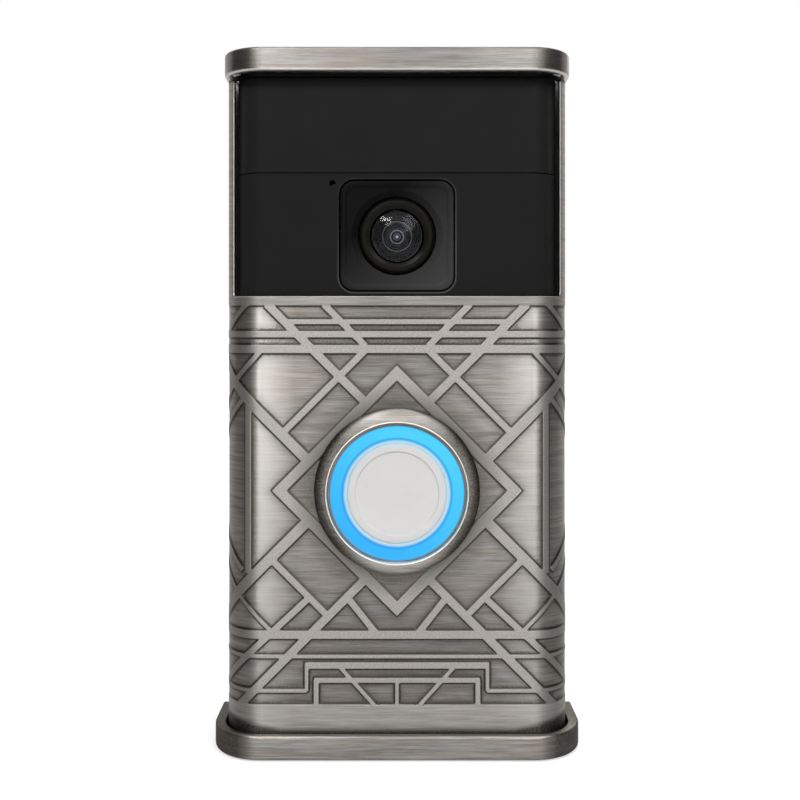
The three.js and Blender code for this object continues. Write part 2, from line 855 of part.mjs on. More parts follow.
function frontHousing() {
  const edge = windowEdgeChamfer;
  const outside = frontBlock(0, bodyFront, partingFront, edge);
  const hollow = frontBlock(wallThickness, frontInner, partingFront + overrun);
  let housing = outside.subtract(hollow);

  const posts = [];
  for (const place of mountPlaces) {
    posts.push(disc(mountReach, [bodyFront + edge, partingFront], place));
  }
  for (const place of housingScrewPlaces) {
    posts.push(disc(housingBossRadius, [frontInner - edge, partingFront], place));
  }
  for (const place of mainPostPlaces) {
    posts.push(disc(postRadius, [frontInner - edge, mainBoardFront - touchGap], place, screwSteps));
  }
  for (const place of sensorScrewPlaces) {
    posts.push(disc(postRadius, [frontInner - edge, sensorBoardFront - touchGap], place, screwSteps));
  }
  const collarInner = lightRingOuterRadius + touchGap;
  const collarDepths = [frontInner - edge, ringBoardFront - touchGap];
  posts.push(disc(collarInner + ringCollarThickness, collarDepths, buttonCentre, fineSteps));
  const bossLength = innerBottom + securityBossRise - bodyBottom;
  const boss = upright(disc(securityBossRadius, [0, bossLength], [0, 0]), bodyBottom);
  posts.push(boss);
  housing = housing.add(unite(posts).intersect(outside));

  // Behind the upper window the wall steps back, and a second wall inside it keeps its thickness.
  const windowInset = windowThickness + touchGap;
  const above = (bottom) => box(
    [-bodyWidth, bodyWidth],
    [bodyFront - overrun, windowRear + touchGap],
    [bottom, bodyHeight],
  );
  const stepBottom = seamHeight - touchGap / 2;
  const stepped = frontBlock(windowInset, bodyFront + windowInset, partingFront);
  const windowStep = above(stepBottom).subtract(stepped);
  const behindWindow = stepped
    .subtract(frontBlock(stepWall, bodyFront + stepWall, partingFront + overrun))
    .intersect(above(stepBottom - frontWallThickness));
  const cuts = [windowStep, speakerSlots()];
  cuts.push(slab(cameraOutline(touchGap), bodyFront - overrun, bodyFront + bezelThickness + overrun));
  cuts.push(box(
    [-motionOpeningHalf, motionOpeningHalf],
    [bodyFront - overrun, bodyFront + stepWall + overrun],
    [motionBottom, motionTop],
  ));
  cuts.push(disc(collarInner, [bodyFront - overrun, partingFront], buttonCentre, fineSteps));
  const holeDepths = [bodyFront - overrun, frontInner + overrun];
  cuts.push(disc(microphoneHoleRadius, holeDepths, microphoneCentre, screwSteps));
  const bootDepths = [frontInner, bodyFront + stepWall + overrun];
  cuts.push(disc(microphoneBootRadius + touchGap, bootDepths, microphoneCentre, screwSteps));
  for (const place of mountPlaces) {
    cuts.push(disc(mountChannelRadius, [bodyFront - overrun, partingFront + overrun], place));
  }
  for (const place of housingScrewPlaces) {
    const start = partingRear - housingScrewLength;
    cuts.push(disc(housingScrewRadius + touchGap, [start, partingFront + overrun], place, screwSteps));
  }
  for (const place of mainPostPlaces) {
    const start = mainBoardFront - smallScrewLength;
    cuts.push(disc(smallScrewRadius + touchGap, [start, partingFront], place, screwSteps));
  }
  for (const place of sensorScrewPlaces) {
    const start = sensorBoardFront - smallScrewLength;
    cuts.push(disc(smallScrewRadius + touchGap, [start, partingFront], place, screwSteps));
  }
  const screwEnd = securityHeadThickness + securityScrewLength + touchGap;
  cuts.push(upright(disc(securityScrewRadius + touchGap, [0, screwEnd], [0, 0]), trayBottom));
  return housing.add(behindWindow).subtract(unite(cuts));
}

// The upper window is a thin skin that wraps round the front's upright edges and over its top.
function sensorWindow() {
  const skin = frontBlock(0, bodyFront, windowRear, windowEdgeChamfer)
    .subtract(frontBlock(windowThickness, bodyFront + windowThickness, windowRear + overrun));
  const keep = box(
    [-bodyWidth, bodyWidth],
    [bodyFront - overrun, windowRear],
    [seamHeight + touchGap / 2, bodyHeight],
  );
  return skin.intersect(keep);
}

function rearHousing() {
  const outside = slab(bodyOutline(), partingRear - rearEdgeChamfer, 0, cornerArcSteps, rearEdgeChamfer)
    .intersect(box([-bodyWidth, bodyWidth], [partingRear, 0], [-bodyHeight, bodyHeight]));
  let housing = outside.subtract(slab(bodyOutline(wallThickness), partingRear - overrun, rearInner));
  const posts = [];
  for (const place of mountPlaces) {
    posts.push(disc(mountPostRadius, [partingRear, -overrun], place));
  }
  for (const place of housingScrewPlaces) {
    posts.push(disc(housingBossRadius, [partingRear, -overrun], place));
  }
  for (const side of [-1, 1]) {
    for (const height of [powerBoardBottom + powerPostInset, powerBoardTop - powerPostInset]) {
      const place = [side * (rearBayHalf - powerPostInset), height];
      posts.push(disc(postRadius, [powerBoardRear + touchGap, -overrun], place, screwSteps));
    }
  }
  const blockHalf = terminalBlockWidth / 2;
  const blockBottom = terminalHeight - terminalBlockHeight / 2;
  const blockDepths = [rearInner - terminalBlockThickness, -overrun];
  posts.push(box([-blockHalf, blockHalf], blockDepths, [blockBottom, blockBottom + terminalBlockHeight]));
  housing = housing.add(unite(posts).intersect(outside));

  const cuts = [];
  for (const place of mountPlaces) {
    cuts.push(disc(mountHoleRadius, [partingRear - overrun, overrun], place));
  }
  for (const place of housingScrewPlaces) {
    cuts.push(disc(housingScrewRadius + touchGap, [partingRear - overrun, overrun], place, screwSteps));
    const sink = -(housingHeadSink + housingHeadThickness + touchGap);
    cuts.push(disc(housingHeadRadius + touchGap, [sink, overrun], place));
  }
  for (const side of [-1, 1]) {
    const place = [side * terminalPlace, terminalHeight];
    cuts.push(disc(terminalPocketRadius, [-terminalPocketDepth, overrun], place));
    const boreStart = rearInner - terminalBlockThickness - overrun;
    cuts.push(disc(terminalScrewRadius + touchGap, [boreStart, overrun], place, screwSteps));
  }
  cuts.push(disc(setupRadius + touchGap, [rearInner - overrun, overrun], setupCentre));
  const mouth = roundedRectangle(
    socketWidth / 2 + socketMarginWidth,
    -socketThickness / 2 - socketMarginHeight,
    socketThickness / 2 + socketMarginHeight,
    socketMarginHeight,
  );
  cuts.push(slab(mouth, rearInner - overrun, overrun).translate([socketPlace, 0, socketHeight]));
  const grooveInset = (wallThickness - sealWidth) / 2 - touchGap;
  const grooveDepths = [partingRear - overrun, partingRear + sealThickness + touchGap];
  const groove = slab(bodyOutline(grooveInset), ...grooveDepths)
    .subtract(slab(bodyOutline(grooveInset + sealWidth + touchGap * 2), ...grooveDepths));
  cuts.push(groove);
  return housing.subtract(unite(cuts));
}

function housingSeal() {
  const inset = (wallThickness - sealWidth) / 2;
  const depths = [partingRear, partingRear + sealThickness];
  const outer = slab(bodyOutline(inset), ...depths);
  return outer.subtract(slab(bodyOutline(inset + sealWidth), depths[0] - overrun, depths[1] + overrun));
}

// A screw along Y: its head lies on the side of +Y and its shank runs to -Y.
function screw([x, z], seat, headRadius, headThickness, radius, length) {
  const profile = [
    [0, seat - length],
    [radius, seat - length],
    [radius, seat],
    [headRadius, seat],
    [headRadius, seat + headThickness],
    [0, seat + headThickness],
  ];
  return turned(profile, [x, z], screwSteps);
}

function housingScrew(place) {
  const seat = -housingHeadSink - housingHeadThickness;
  const head = [housingHeadRadius, housingHeadThickness];
  return screw(place, seat, ...head, housingScrewRadius, housingScrewLength);
}

function boardScrew(place, boardRear) {
  const seat = boardRear + touchGap;
  return screw(place, seat, smallHeadRadius, smallHeadThickness, smallScrewRadius, smallScrewLength);
}

function screwHoles(places, depths) {
  return unite(places.map((place) => disc(smallScrewRadius + touchGap, depths, place, screwSteps)));
}

// The camera

function cameraBezel() {
  const rear = bodyFront + bezelThickness;
  const blank = slab(cameraOutline(0), bodyFront, rear, bezelArcSteps);
  const bore = lensRingRadius + touchGap;
  const dish = turned([
    [0, bodyFront - overrun],
    [bezelDishRadius, bodyFront - overrun],
    [bezelDishRadius, bodyFront],
    [bore, bodyFront + bezelDishDepth],
    [bore, rear + overrun],
    [0, rear + overrun],
  ], [0, cameraHeight], fineSteps);
  return blank.subtract(dish);
}

const lensFront = bodyFront + bezelDishDepth / 2 - lensRingProud;

function lensRing() {
  const rear = lensFront + lensRingLength;
  const seat = domeRadius + touchGap;
  const profile = [
    [lensRingRadius, lensFront + domeThickness],
    [lensRingRadius, rear],
    [lensRingBore, rear],
    [seat, lensFront],
    [(lensRingRadius + seat) / 2, lensFront],
    [lensRingRadius, lensFront + domeThickness],
  ];
  return turned(profile, [0, cameraHeight], fineSteps);
}

// The clear dome: a shell with its hollow open to the back.
function lensCover() {
  const edge = lensFront + domeThickness * 2;
  const crown = lensFront - domeRise + domeThickness;
  const innerRadius = domeRadius - domeThickness;
  const outside = [];
  const inside = [];
  for (let i = 0; i <= domeSteps; i += 1) {
    const angle = (i / domeSteps) * quarterTurn;
    const drop = domeRise * (1 - Math.cos(angle));
    outside.push([domeRadius * Math.sin(angle), crown + drop]);
    inside.unshift([innerRadius * Math.sin(angle), crown + domeThickness + drop]);
  }
  const profile = [...outside, [domeRadius, edge], [innerRadius, edge], ...inside];
  return turned(profile, [0, cameraHeight]);
}

const barrelFront = lensFront + domeThickness * 2 + touchGap;
const barrelRear = cameraBoardFront - touchGap - sensorThickness - barrelSetback;
const barrelFlangeRear = barrelFront + barrelFlangeThickness;

function lensBarrel() {
  const profile = [
    [barrelFlangeRadius, barrelFront],
    [barrelFlangeRadius, barrelFlangeRear],
    [barrelRadius, barrelFlangeRear],
    [barrelRadius, barrelRear],
    [barrelBore, barrelRear],
    [barrelBore, barrelFlangeRear],
    [barrelBore + barrelFlangeThickness, barrelFront],
    [barrelFlangeRadius, barrelFront],
  ];
  return turned(profile, [0, cameraHeight], smallSteps);
}

// A lens element with a crowned front face, at a share of the barrel's length.
function lensElement(share) {
  const front = THREE.MathUtils.lerp(barrelFront, barrelRear, share);
  const radius = barrelBore - touchGap;
  const profile = [[0, front - elementCrown]];
  for (let i = 1; i <= elementSteps; i += 1) {
    const out = i / elementSteps;
    profile.push([radius * out, front - elementCrown * (1 - out * out)]);
  }
  profile.push([radius, front + elementThickness], [0, front + elementThickness]);
  return turned(profile, [0, cameraHeight], smallSteps);
}

function lensHolder() {
  const rear = cameraBoardFront - touchGap;
  const base = rear - holderBaseThickness;
  const front = THREE.MathUtils.lerp(base, barrelFlangeRear, holderSleeveShare);
  const half = holderSide / 2;
  const block = box([-half, half], [base, rear], [cameraHeight - half, cameraHeight + half]);
  const sleeve = disc(holderSleeveRadius, [front, base + overrun], [0, cameraHeight]);
  const bore = disc(barrelRadius + touchGap, [front - overrun, rear + overrun], [0, cameraHeight]);
  return block.add(sleeve).subtract(bore);
}

function imageSensor() {
  const half = sensorSide / 2;
  const rear = cameraBoardFront - touchGap;
  return box([-half, half], [rear - sensorThickness, rear], [cameraHeight - half, cameraHeight + half]);
}

function plainBoard(halfWidth, bottom, top, depths, holes) {
  const board = slab(roundedRectangle(halfWidth, bottom, top, mainBoardCornerRadius), ...depths, 1);
  return holes ? board.subtract(holes) : board;
}

function infraredLamp(side) {
  const x = side * infraredPlace;
  const front = frontInner + touchGap;
  const leadRear = cameraBoardFront - touchGap;
  const rear = THREE.MathUtils.lerp(front, leadRear, infraredLengthShare);
  const body = turned([
    ...infraredDomeShares.map(([out, back]) => [infraredRadius * out, front + infraredRadius * back]),
    [infraredRadius, rear - infraredFlangeThickness],
    [infraredFlangeRadius, rear - infraredFlangeThickness],
    [infraredFlangeRadius, rear],
    [0, rear],
  ], [x, cameraHeight], smallSteps);
  const leads = [-1, 1].map((end) => disc(
    infraredLeadRadius,
    [rear - infraredFlangeThickness, leadRear],
    [x + end * infraredLeadPlace, cameraHeight],
    screwSteps / 2,
  ));
  return unite([body, ...leads]);
}

// Motion sensing

function motionLensArray() {
  const front = bodyFront + windowThickness + touchGap;
  const rear = front + motionLensThickness;
  const half = motionOpeningHalf - touchGap;
  const plate = box([-half, half], [front, rear], [motionBottom + touchGap, motionTop - touchGap]);
  const middle = (motionBottom + motionTop) / 2;
  const pitch = (half * 2) / motionLensCount;
  const [shoulder, rise] = motionLensShoulderShares;
  const lenses = [];
  for (let i = 0; i < motionLensCount; i += 1) {
    const x = (i - (motionLensCount - 1) / 2) * pitch;
    lenses.push(turned([
      [0, front + motionLensThickness / 2],
      [motionLensRadius, front + motionLensThickness / 2],
      [motionLensRadius, rear],
      [motionLensRadius * shoulder, rear + motionLensCrown * rise],
      [0, rear + motionLensCrown],
    ], [x, middle], smallSteps));
  }
  return unite([plate, ...lenses]);
}

function motionSensor(side) {
  const rear = sensorBoardFront - touchGap;
  const front = rear - motionSensorLength;
  const place = [side * motionOpeningHalf * motionSensorShare, (motionBottom + motionTop) / 2];
  const can = disc(motionSensorRadius, [front, rear], place);
  const brim = disc(motionSensorBrimRadius, [rear - motionSensorBrimThickness, rear], place);
  const half = motionSensorWindow / 2;
  const pane = box(
    [place[0] - half, place[0] + half],
    [front - overrun, front + motionSensorWindowDepth],
    [place[1] - half, place[1] + half],
  );
  return can.add(brim).subtract(pane);
}

const sensorBoardDepths = [sensorBoardFront, sensorBoardFront + boardThickness];

// The board is cut clear of the housing screws' bosses where they reach it.
function sensorBoard() {
  const bottom = seamHeight - sensorScrewRise - postRadius / 2;
  const top = bodyTop - stepWall - sensorBoardMargin;
  const through = [sensorBoardDepths[0] - overrun, sensorBoardDepths[1] + overrun];
  const holes = screwHoles(sensorScrewPlaces, through);
  const notches = housingScrewPlaces.map((place) => disc(housingBossRadius + touchGap, through, place));
  return plainBoard(sensorBoardHalf, bottom, top, sensorBoardDepths, unite([holes, ...notches]));
}

function microphone() {
  const half = microphoneWidth / 2;
  const rear = sensorBoardFront - touchGap;
  const [x, z] = microphoneCentre;
  return box([x - half, x + half], [rear - microphoneThickness, rear], [z - half / 2, z + half / 2]);
}

function microphoneBoot() {
  const rear = sensorBoardFront - touchGap * 2 - microphoneThickness;
  const depths = [frontInner + touchGap, rear];
  return ring(microphoneBootRadius, microphoneHoleRadius, depths, microphoneCentre, screwSteps);
}

// The button and its light

function lightRing() {
  const profile = [
    [lightRingOuterRadius, lightRingFront + lightRingChamfer],
    [lightRingOuterRadius, lightRingRear],
    [lightRingBore, lightRingRear],
    [lightRingBore, lightRingFront],
    [lightRingOuterRadius - lightRingChamfer, lightRingFront],
    [lightRingOuterRadius, lightRingFront + lightRingChamfer],
  ];
  return turned(profile, buttonCentre, fineSteps);
}

function buttonCap() {
  const faceRear = buttonFront + buttonFaceThickness;
  const skirtRear = faceRear + buttonSkirtDepth;
  const stemRear = switchFront - plungerProud - touchGap;
  const dishRadius = buttonRadius - buttonRimWidth;
  const profile = [
    [0, buttonFront + buttonDishDepth],
    [dishRadius - buttonDishDepth, buttonFront + buttonDishDepth],
    [dishRadius, buttonFront],
    [buttonRadius - buttonDishDepth, buttonFront],
    [buttonRadius, buttonFront + buttonDishDepth],
    [buttonRadius, skirtRear],
    [buttonRadius - buttonSkirtThickness, skirtRear],
    [buttonRadius - buttonSkirtThickness, faceRear],
    [plungerRadius * 2, faceRear],
    [plungerRadius * 2, stemRear],
    [0, stemRear],
  ];
  return turned(profile, buttonCentre, fineSteps);
}

const padFront = buttonFront + buttonFaceThickness + buttonSkirtDepth + buttonTravel + touchGap;

function buttonPad() {
  const depths = [padFront, padFront + padThickness];
  return ring(lightRingBore - touchGap, padInnerRadius, depths, buttonCentre, roundSteps);
}

function switchPlunger() {
  const front = switchFront - plungerProud;
  return disc(plungerRadius, [front, front + plungerLength], buttonCentre);
}

function tactSwitch() {
  const half = switchSide / 2;
  const rear = switchFront + switchThickness;
  const body = box([-half, half], [switchFront, rear], [buttonHeight - half, buttonHeight + half]);
  const plungerRear = switchFront - plungerProud + plungerLength;
  const bore = [switchFront - overrun, plungerRear + buttonTravel + plungerFloor];
  return body.subtract(disc(plungerRadius + touchGap, bore, buttonCentre));
}

const ringBoardDepths = [ringBoardFront, ringBoardFront + boardThickness];

function ringLed(index) {
  const angle = ((index + 0.5) / ledCount) * Math.PI * 2;
  const radius = (lightRingOuterRadius + lightRingBore) / 2;
  const x = radius * Math.cos(angle);
  const z = buttonHeight + radius * Math.sin(angle);
  const half = ledSide / 2;
  const rear = ringBoardFront - touchGap;
  return box([x - half, x + half], [rear - ledThickness, rear], [z - half, z + half]);
}

// The speaker

const speakerFront = frontInner + touchGap;
const speakerRear = speakerFront + speakerDepth;
const speakerCentre = [0, speakerHeight];

function speakerFrame() {
  const floor = speakerRear - speakerFloorThickness;
  const bore = speakerFloorBore;
  const profile = [
    [speakerRadius, speakerFront],
    [speakerRadius, speakerFront + speakerRimWidth],
    [speakerRadius - speakerRimWidth, speakerRear],
    [bore, speakerRear],
    [bore, floor],
    [speakerRadius - speakerRimWidth * 2, floor],
    [speakerRadius - speakerRimWidth, speakerFront],
    [speakerRadius, speakerFront],
  ];
  return turned(profile, speakerCentre, roundSteps);
}

function speakerCone() {
  const rim = speakerRadius - speakerRimWidth - touchGap * 2;
  const back = speakerFront + coneDepth;
  const profile = [
    [0, back - coneThickness * 2],
    [coneCapRadius, back],
    [rim - coneThickness, speakerFront],
    [rim, speakerFront],
    [coneCapRadius, back + coneThickness],
    [0, back - coneThickness],
  ];
  return turned(profile, speakerCentre, roundSteps);
}

function speakerMagnet() {
  const depths = [speakerRear + touchGap, mainBoardFront - speakerMagnetSetback];
  return disc(speakerMagnetRadius, depths, speakerCentre, roundSteps);
}

// Boards in the middle of the body

function mainBoard() {
  const depths = [mainBoardFront, mainBoardRear];
  const holes = screwHoles(mainPostPlaces, [mainBoardFront - overrun, mainBoardRear + overrun]);
  return plainBoard(mainBoardHalf, mainBoardBottom, mainBoardTop, depths, holes);
}

function shieldCan() {
  const front = mainBoardRear + touchGap;
  const half = shieldWidth / 2;
  const middle = mainBoardTop - shieldDrop;
  const heights = [middle - shieldHeight / 2, middle + shieldHeight / 2];
  const inside = [heights[0] + shieldWall, heights[1] - shieldWall];
  const can = box([-half, half], [front, front + shieldThickness], heights);
  const hollowDepths = [front - overrun, front + shieldThickness - shieldWall];
  return can.subtract(box([shieldWall - half, half - shieldWall], hollowDepths, inside));
}

function wifiAntenna() {
  const x = -innerSide + touchGap;
  const rear = partingFront - antennaSetback;
  const depths = [rear - antennaWidth, rear];
  const top = seamHeight - frontWallThickness - touchGap * 2;
  const heights = [mountHighHeight + mountReach + touchGap * 2, top];
  const strip = box([x, x + antennaThickness], depths, heights);
  const slotDepths = [depths[0] + antennaWidth / 4, depths[1] - antennaWidth / 4];
  const slotHeights = [heights[0] + antennaWidth / 2, heights[1] - antennaWidth / 2];
  return strip.subtract(box([x - overrun, x + antennaThickness + overrun], slotDepths, slotHeights));
}

// The battery

function roundedBar(halfWidth, depths, heights, radius) {
  const corner = Math.min(radius, (depths[1] - depths[0]) * batteryEdgeShare);
  const bar = roundedRectangle(halfWidth, depths[0], depths[1], corner);
  const geometry = extruded(bar, heights[1] - heights[0], cornerArcSteps, 0);
  geometry.translate(0, 0, heights[0]);
  return toSolid(geometry);
}

function batteryPack() {
  const front = partingRear + batteryFrontGap;
  const rear = rearInner - touchGap;
  const half = rearBayHalf;
  const step = batteryCapStep;
  const cellHeights = [batteryHeights[0] + batteryCapLength, batteryHeights[1] - batteryCapLength];
  const caps = roundedBar(half, [front, rear], batteryHeights, batteryEdgeRadius);
  const outer = box([-half - overrun, half + overrun], [front - overrun, rear + overrun], cellHeights);
  const waist = roundedBar(half - step, [front + step, rear - step], batteryHeights, batteryEdgeRadius);
  return caps.subtract(outer).add(waist);
}

// Rear electrics

function powerBoard() {
  const depths = [powerBoardFront, powerBoardRear];
  return plainBoard(rearBayHalf, powerBoardBottom, powerBoardTop, depths);
}

function usbPort() {
  const front = powerBoardRear + touchGap;
  const half = socketWidth / 2;
  const halfHeight = socketThickness / 2;
  const body = slab(roundedRectangle(half, -halfHeight, halfHeight, halfHeight / 2), front, -socketSink);
  const innerHalf = half - socketWall;
  const innerHeight = halfHeight - socketWall;
  const hollow = roundedRectangle(innerHalf, -innerHeight, innerHeight, innerHeight / 2);
  const floor = -socketSink - socketMouthDepth;
  const tongueHalf = socketTongueThickness / 2;
  const tongue = box(
    [-socketTongueWidth / 2, socketTongueWidth / 2],
    [floor - socketWall, -socketSink - socketTongueSetback],
    [-tongueHalf, tongueHalf],
  );
  return body.subtract(slab(hollow, floor, overrun)).add(tongue).translate([socketPlace, 0, socketHeight]);
}

function setupButton() {
  const inner = -setupSink - setupLength;
  const brimFront = rearInner - touchGap - setupBrimThickness;
  const profile = [
    [0, -setupSink],
    [setupRadius, -setupSink],
    [setupRadius, rearInner - touchGap],
    [setupRadius + setupBrim, rearInner - touchGap],
    [setupRadius + setupBrim, brimFront],
    [setupRadius / 2, brimFront],
    [setupRadius / 2, inner],
    [0, inner],
  ];
  return turned(profile, setupCentre, smallSteps);
}

function setupSwitch() {
  const half = switchSide / 2;
  const nubRear = -setupSink - setupLength - setupTravel - touchGap;
  const bodyRear = nubRear - setupNubLength;
  const front = powerBoardRear + touchGap;
  const body = box(
    [setupCentre[0] - half, setupCentre[0] + half],
    [front, bodyRear],
    [setupCentre[1] - half, setupCentre[1] + half],
  );
  return body.add(disc(setupNubRadius, [front, nubRear], setupCentre, screwSteps));
}

function terminalScrew(side) {
  const seat = -terminalPocketDepth + touchGap;
  const length = seat - powerBoardRear - touchGap;
  const place = [side * terminalPlace, terminalHeight];
  return screw(place, seat, terminalHeadRadius, terminalHeadThickness, terminalScrewRadius, length);
}

// Putting the doorbell together

addPiece('cover_shell', coverShell(), brushedNickel());
addPiece('hood_cap', hoodCap(), brushedNickel());
addPiece('base_tray', baseTray(), brushedNickel());
addPiece('security_screw', securityScrew(), steel());

addPiece('front_housing', frontHousing(), blackPlastic());
addPiece('sensor_window', sensorWindow(), glossBlack());
addPiece('rear_housing', rearHousing(), blackPlastic());
addPiece('housing_seal', housingSeal(), darkRubber());
housingScrewPlaces.forEach((place, index) => {
  addPiece(`housing_screw_${index + 1}`, housingScrew(place), steel());
});

addPiece('camera_bezel', cameraBezel(), blackPlastic());
addPiece('lens_ring', lensRing(), glossBlack());
addPiece('lens_cover', lensCover(), clearGlass());
addPiece('lens_barrel', lensBarrel(), blackPlastic());
addPiece('front_lens_element', lensElement(elementPlaceShares[0]), clearGlass());
addPiece('rear_lens_element', lensElement(elementPlaceShares[1]), clearGlass());
addPiece('lens_holder', lensHolder(), blackPlastic());
addPiece('image_sensor', imageSensor(), glossBlack());
addPiece('camera_board', plainBoard(
  cameraBoardHalf,
  cameraBoardBottom,
  cameraBoardBottom + cameraBoardHeight,
  [cameraBoardFront, cameraBoardRear],
), boardGreen());
addPiece('infrared_lamp_left', infraredLamp(-1), clearGlass());
addPiece('infrared_lamp_right', infraredLamp(1), clearGlass());

addPiece('motion_lens_array', motionLensArray(), whitePlastic());
addPiece('motion_sensor_left', motionSensor(-1), steel());
addPiece('motion_sensor_right', motionSensor(1), steel());
addPiece('sensor_board', sensorBoard(), boardGreen());
sensorScrewPlaces.forEach((place, index) => {
  addPiece(`sensor_board_screw_${index + 1}`, boardScrew(place, sensorBoardDepths[1]), steel());
});
addPiece('microphone', microphone(), steel());
addPiece('microphone_boot', microphoneBoot(), darkRubber());

addPiece('light_ring', lightRing(), blueLight());
addPiece('button_cap', buttonCap(), whitePlastic());
addPiece('switch_plunger', switchPlunger(), blackPlastic());
addPiece('button_pad', buttonPad(), darkRubber());
addPiece('button_switch', tactSwitch(), steel());
addPiece('ring_board', disc(ringBoardRadius, ringBoardDepths, buttonCentre, roundSteps), boardGreen());
for (let i = 0; i < ledCount; i += 1) {
  addPiece(`ring_led_${i + 1}`, ringLed(i), whitePlastic());
}

addPiece('speaker_frame', speakerFrame(), steel());
addPiece('speaker_cone', speakerCone(), darkRubber());
addPiece('speaker_magnet', speakerMagnet(), steel());

addPiece('main_board', mainBoard(), boardGreen());
addPiece('main_board_screw_1', boardScrew(mainPostPlaces[0], mainBoardRear), steel());
addPiece('main_board_screw_2', boardScrew(mainPostPlaces[3], mainBoardRear), steel());
addPiece('shield_can', shieldCan(), steel());
addPiece('wifi_antenna', wifiAntenna(), steel());
addPiece('battery_pack', batteryPack(), batteryWrap());

addPiece('power_board', powerBoard(), boardGreen());
addPiece('usb_port', usbPort(), steel());
addPiece('setup_button', setupButton(), orangePlastic());
addPiece('setup_switch', setupSwitch(), steel());
addPiece('terminal_screw_left', terminalScrew(-1), steel());
addPiece('terminal_screw_right', terminalScrew(1), steel());

export default doorbell;
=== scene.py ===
import json
import math

import bmesh
import bpy
import numpy as np
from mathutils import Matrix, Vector
from mathutils.geometry import delaunay_2d_cdt

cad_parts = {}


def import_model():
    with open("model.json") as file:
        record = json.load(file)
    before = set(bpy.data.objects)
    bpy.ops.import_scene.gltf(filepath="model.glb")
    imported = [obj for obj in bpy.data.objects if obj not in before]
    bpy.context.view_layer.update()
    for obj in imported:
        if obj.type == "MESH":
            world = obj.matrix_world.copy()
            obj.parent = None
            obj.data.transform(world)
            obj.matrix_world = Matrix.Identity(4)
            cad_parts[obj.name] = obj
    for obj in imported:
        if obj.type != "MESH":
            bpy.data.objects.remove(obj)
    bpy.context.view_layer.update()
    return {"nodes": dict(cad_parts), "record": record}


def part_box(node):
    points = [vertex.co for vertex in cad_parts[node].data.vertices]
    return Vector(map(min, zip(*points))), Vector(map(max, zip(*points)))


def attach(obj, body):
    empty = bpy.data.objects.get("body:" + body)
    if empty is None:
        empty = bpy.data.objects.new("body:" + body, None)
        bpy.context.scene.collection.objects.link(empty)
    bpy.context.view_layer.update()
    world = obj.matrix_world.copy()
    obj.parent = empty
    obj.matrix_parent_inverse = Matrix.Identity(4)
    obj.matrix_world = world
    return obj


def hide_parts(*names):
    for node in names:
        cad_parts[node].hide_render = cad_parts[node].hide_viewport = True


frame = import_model()

# Lengths are in metres. Sizes of the real pieces are written in millimetres times MM.
MM = 0.001
QUARTER = math.pi / 2
SHARP = math.radians(38)
FLAT = math.radians(0.5)

# Places read from the frame
COVER_LOW, COVER_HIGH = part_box("cover_shell")
HOOD_LOW, HOOD_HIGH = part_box("hood_cap")
TRAY_LOW, TRAY_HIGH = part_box("base_tray")
RING_LOW, RING_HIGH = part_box("light_ring")
CAP_LOW, CAP_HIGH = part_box("button_cap")
BEZEL_LOW, BEZEL_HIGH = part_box("camera_bezel")
ELEMENT_LOW, ELEMENT_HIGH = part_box("front_lens_element")

# The cover
BOSS_RISE = 1.8 * MM
COVER_WALL = 1.3 * MM
COVER_RADIUS = 7.2 * MM
COVER_FRONT = COVER_LOW.y + BOSS_RISE
COVER_SIDE = COVER_HIGH.x
COVER_FLAT = COVER_SIDE - COVER_RADIUS
COVER_ARC = COVER_RADIUS * QUARTER
COVER_REACH = COVER_FLAT + COVER_ARC + (COVER_HIGH.y - COVER_FRONT) - COVER_RADIUS
COVER_BACK = COVER_FRONT + COVER_WALL
COVER_EDGE = 0.2 * MM
WINDOW_HALF = 31.3 * MM
WINDOW_BOTTOM = 19.7 * MM
TOP_RAIL = 0.7 * MM
RELIEF_DEPTH = 0.45 * MM
RELIEF_SIDE_SHARE = 0.1
HEAD_BAND = 1.67 * MM
FOOT_BAND = 7.49 * MM

# The lattice on the cover, as shares of the diamond's reach, and the widths of its ribs
DIAMOND_REACH = 22.24 * MM
DIAMOND_HEIGHT = -17 * MM
BROAD = 1.87 * MM
MAIN = 1.48 * MM
PLAIN = 1.15 * MM
SLIM = 0.88 * MM
THIN = 0.64 * MM
RIB_SLOPE = 0.3 * MM
LEVEL_SHARE = 2.2
RIB_SHARES = [
    ((-0.03, 1.03), (1.03, -0.03), BROAD),
    ((1.03, 0.03), (-0.03, -1.03), BROAD),
    ((1.1, 1.58), (0.26, 0.74), MAIN),
    ((0.62, 1.58), (0.27, 1.23), PLAIN),
    ((0.28, 1.18), (0.97, 0.49), PLAIN),
    ((0.76, 0.26), (1.69, 1.19), BROAD),
    ((0.76, -0.26), (1.72, -1.22), BROAD),
    ((1.27, 0.72), (1.27, -0.7), PLAIN),
    ((1.05, -0.6), (0.585, -1.065), PLAIN),
    ((0.27, -0.75), (1.39, -1.87), MAIN),
    ((0.4, -0.93), (0.17, -1.22), PLAIN),
    ((0.745, -0.907), (1.6, -1.7), PLAIN),
    ((0.48, -1.5), (0.19, -1.82), THIN),
    ((1.25, 1.62), (1.56, 1.33), SLIM),
    ((1.17, 1.17), (2.14, 0.19), SLIM),
    ((1.3, 0.8), (2.14, -0.04), SLIM),
    ((1.33, -0.68), (2.14, 0.13), SLIM),
    ((1.07, -1.19), (2.14, -0.11), THIN),
    ((0.767, -1.481), (0.767, -1.696), THIN),
    ((0.686, -1.607), (0.686, -1.83), SLIM),
    ((0, -1.607), (0, -1.83), THIN),
    ((0.767, -1.696), (LEVEL_SHARE, -1.696), THIN),
]
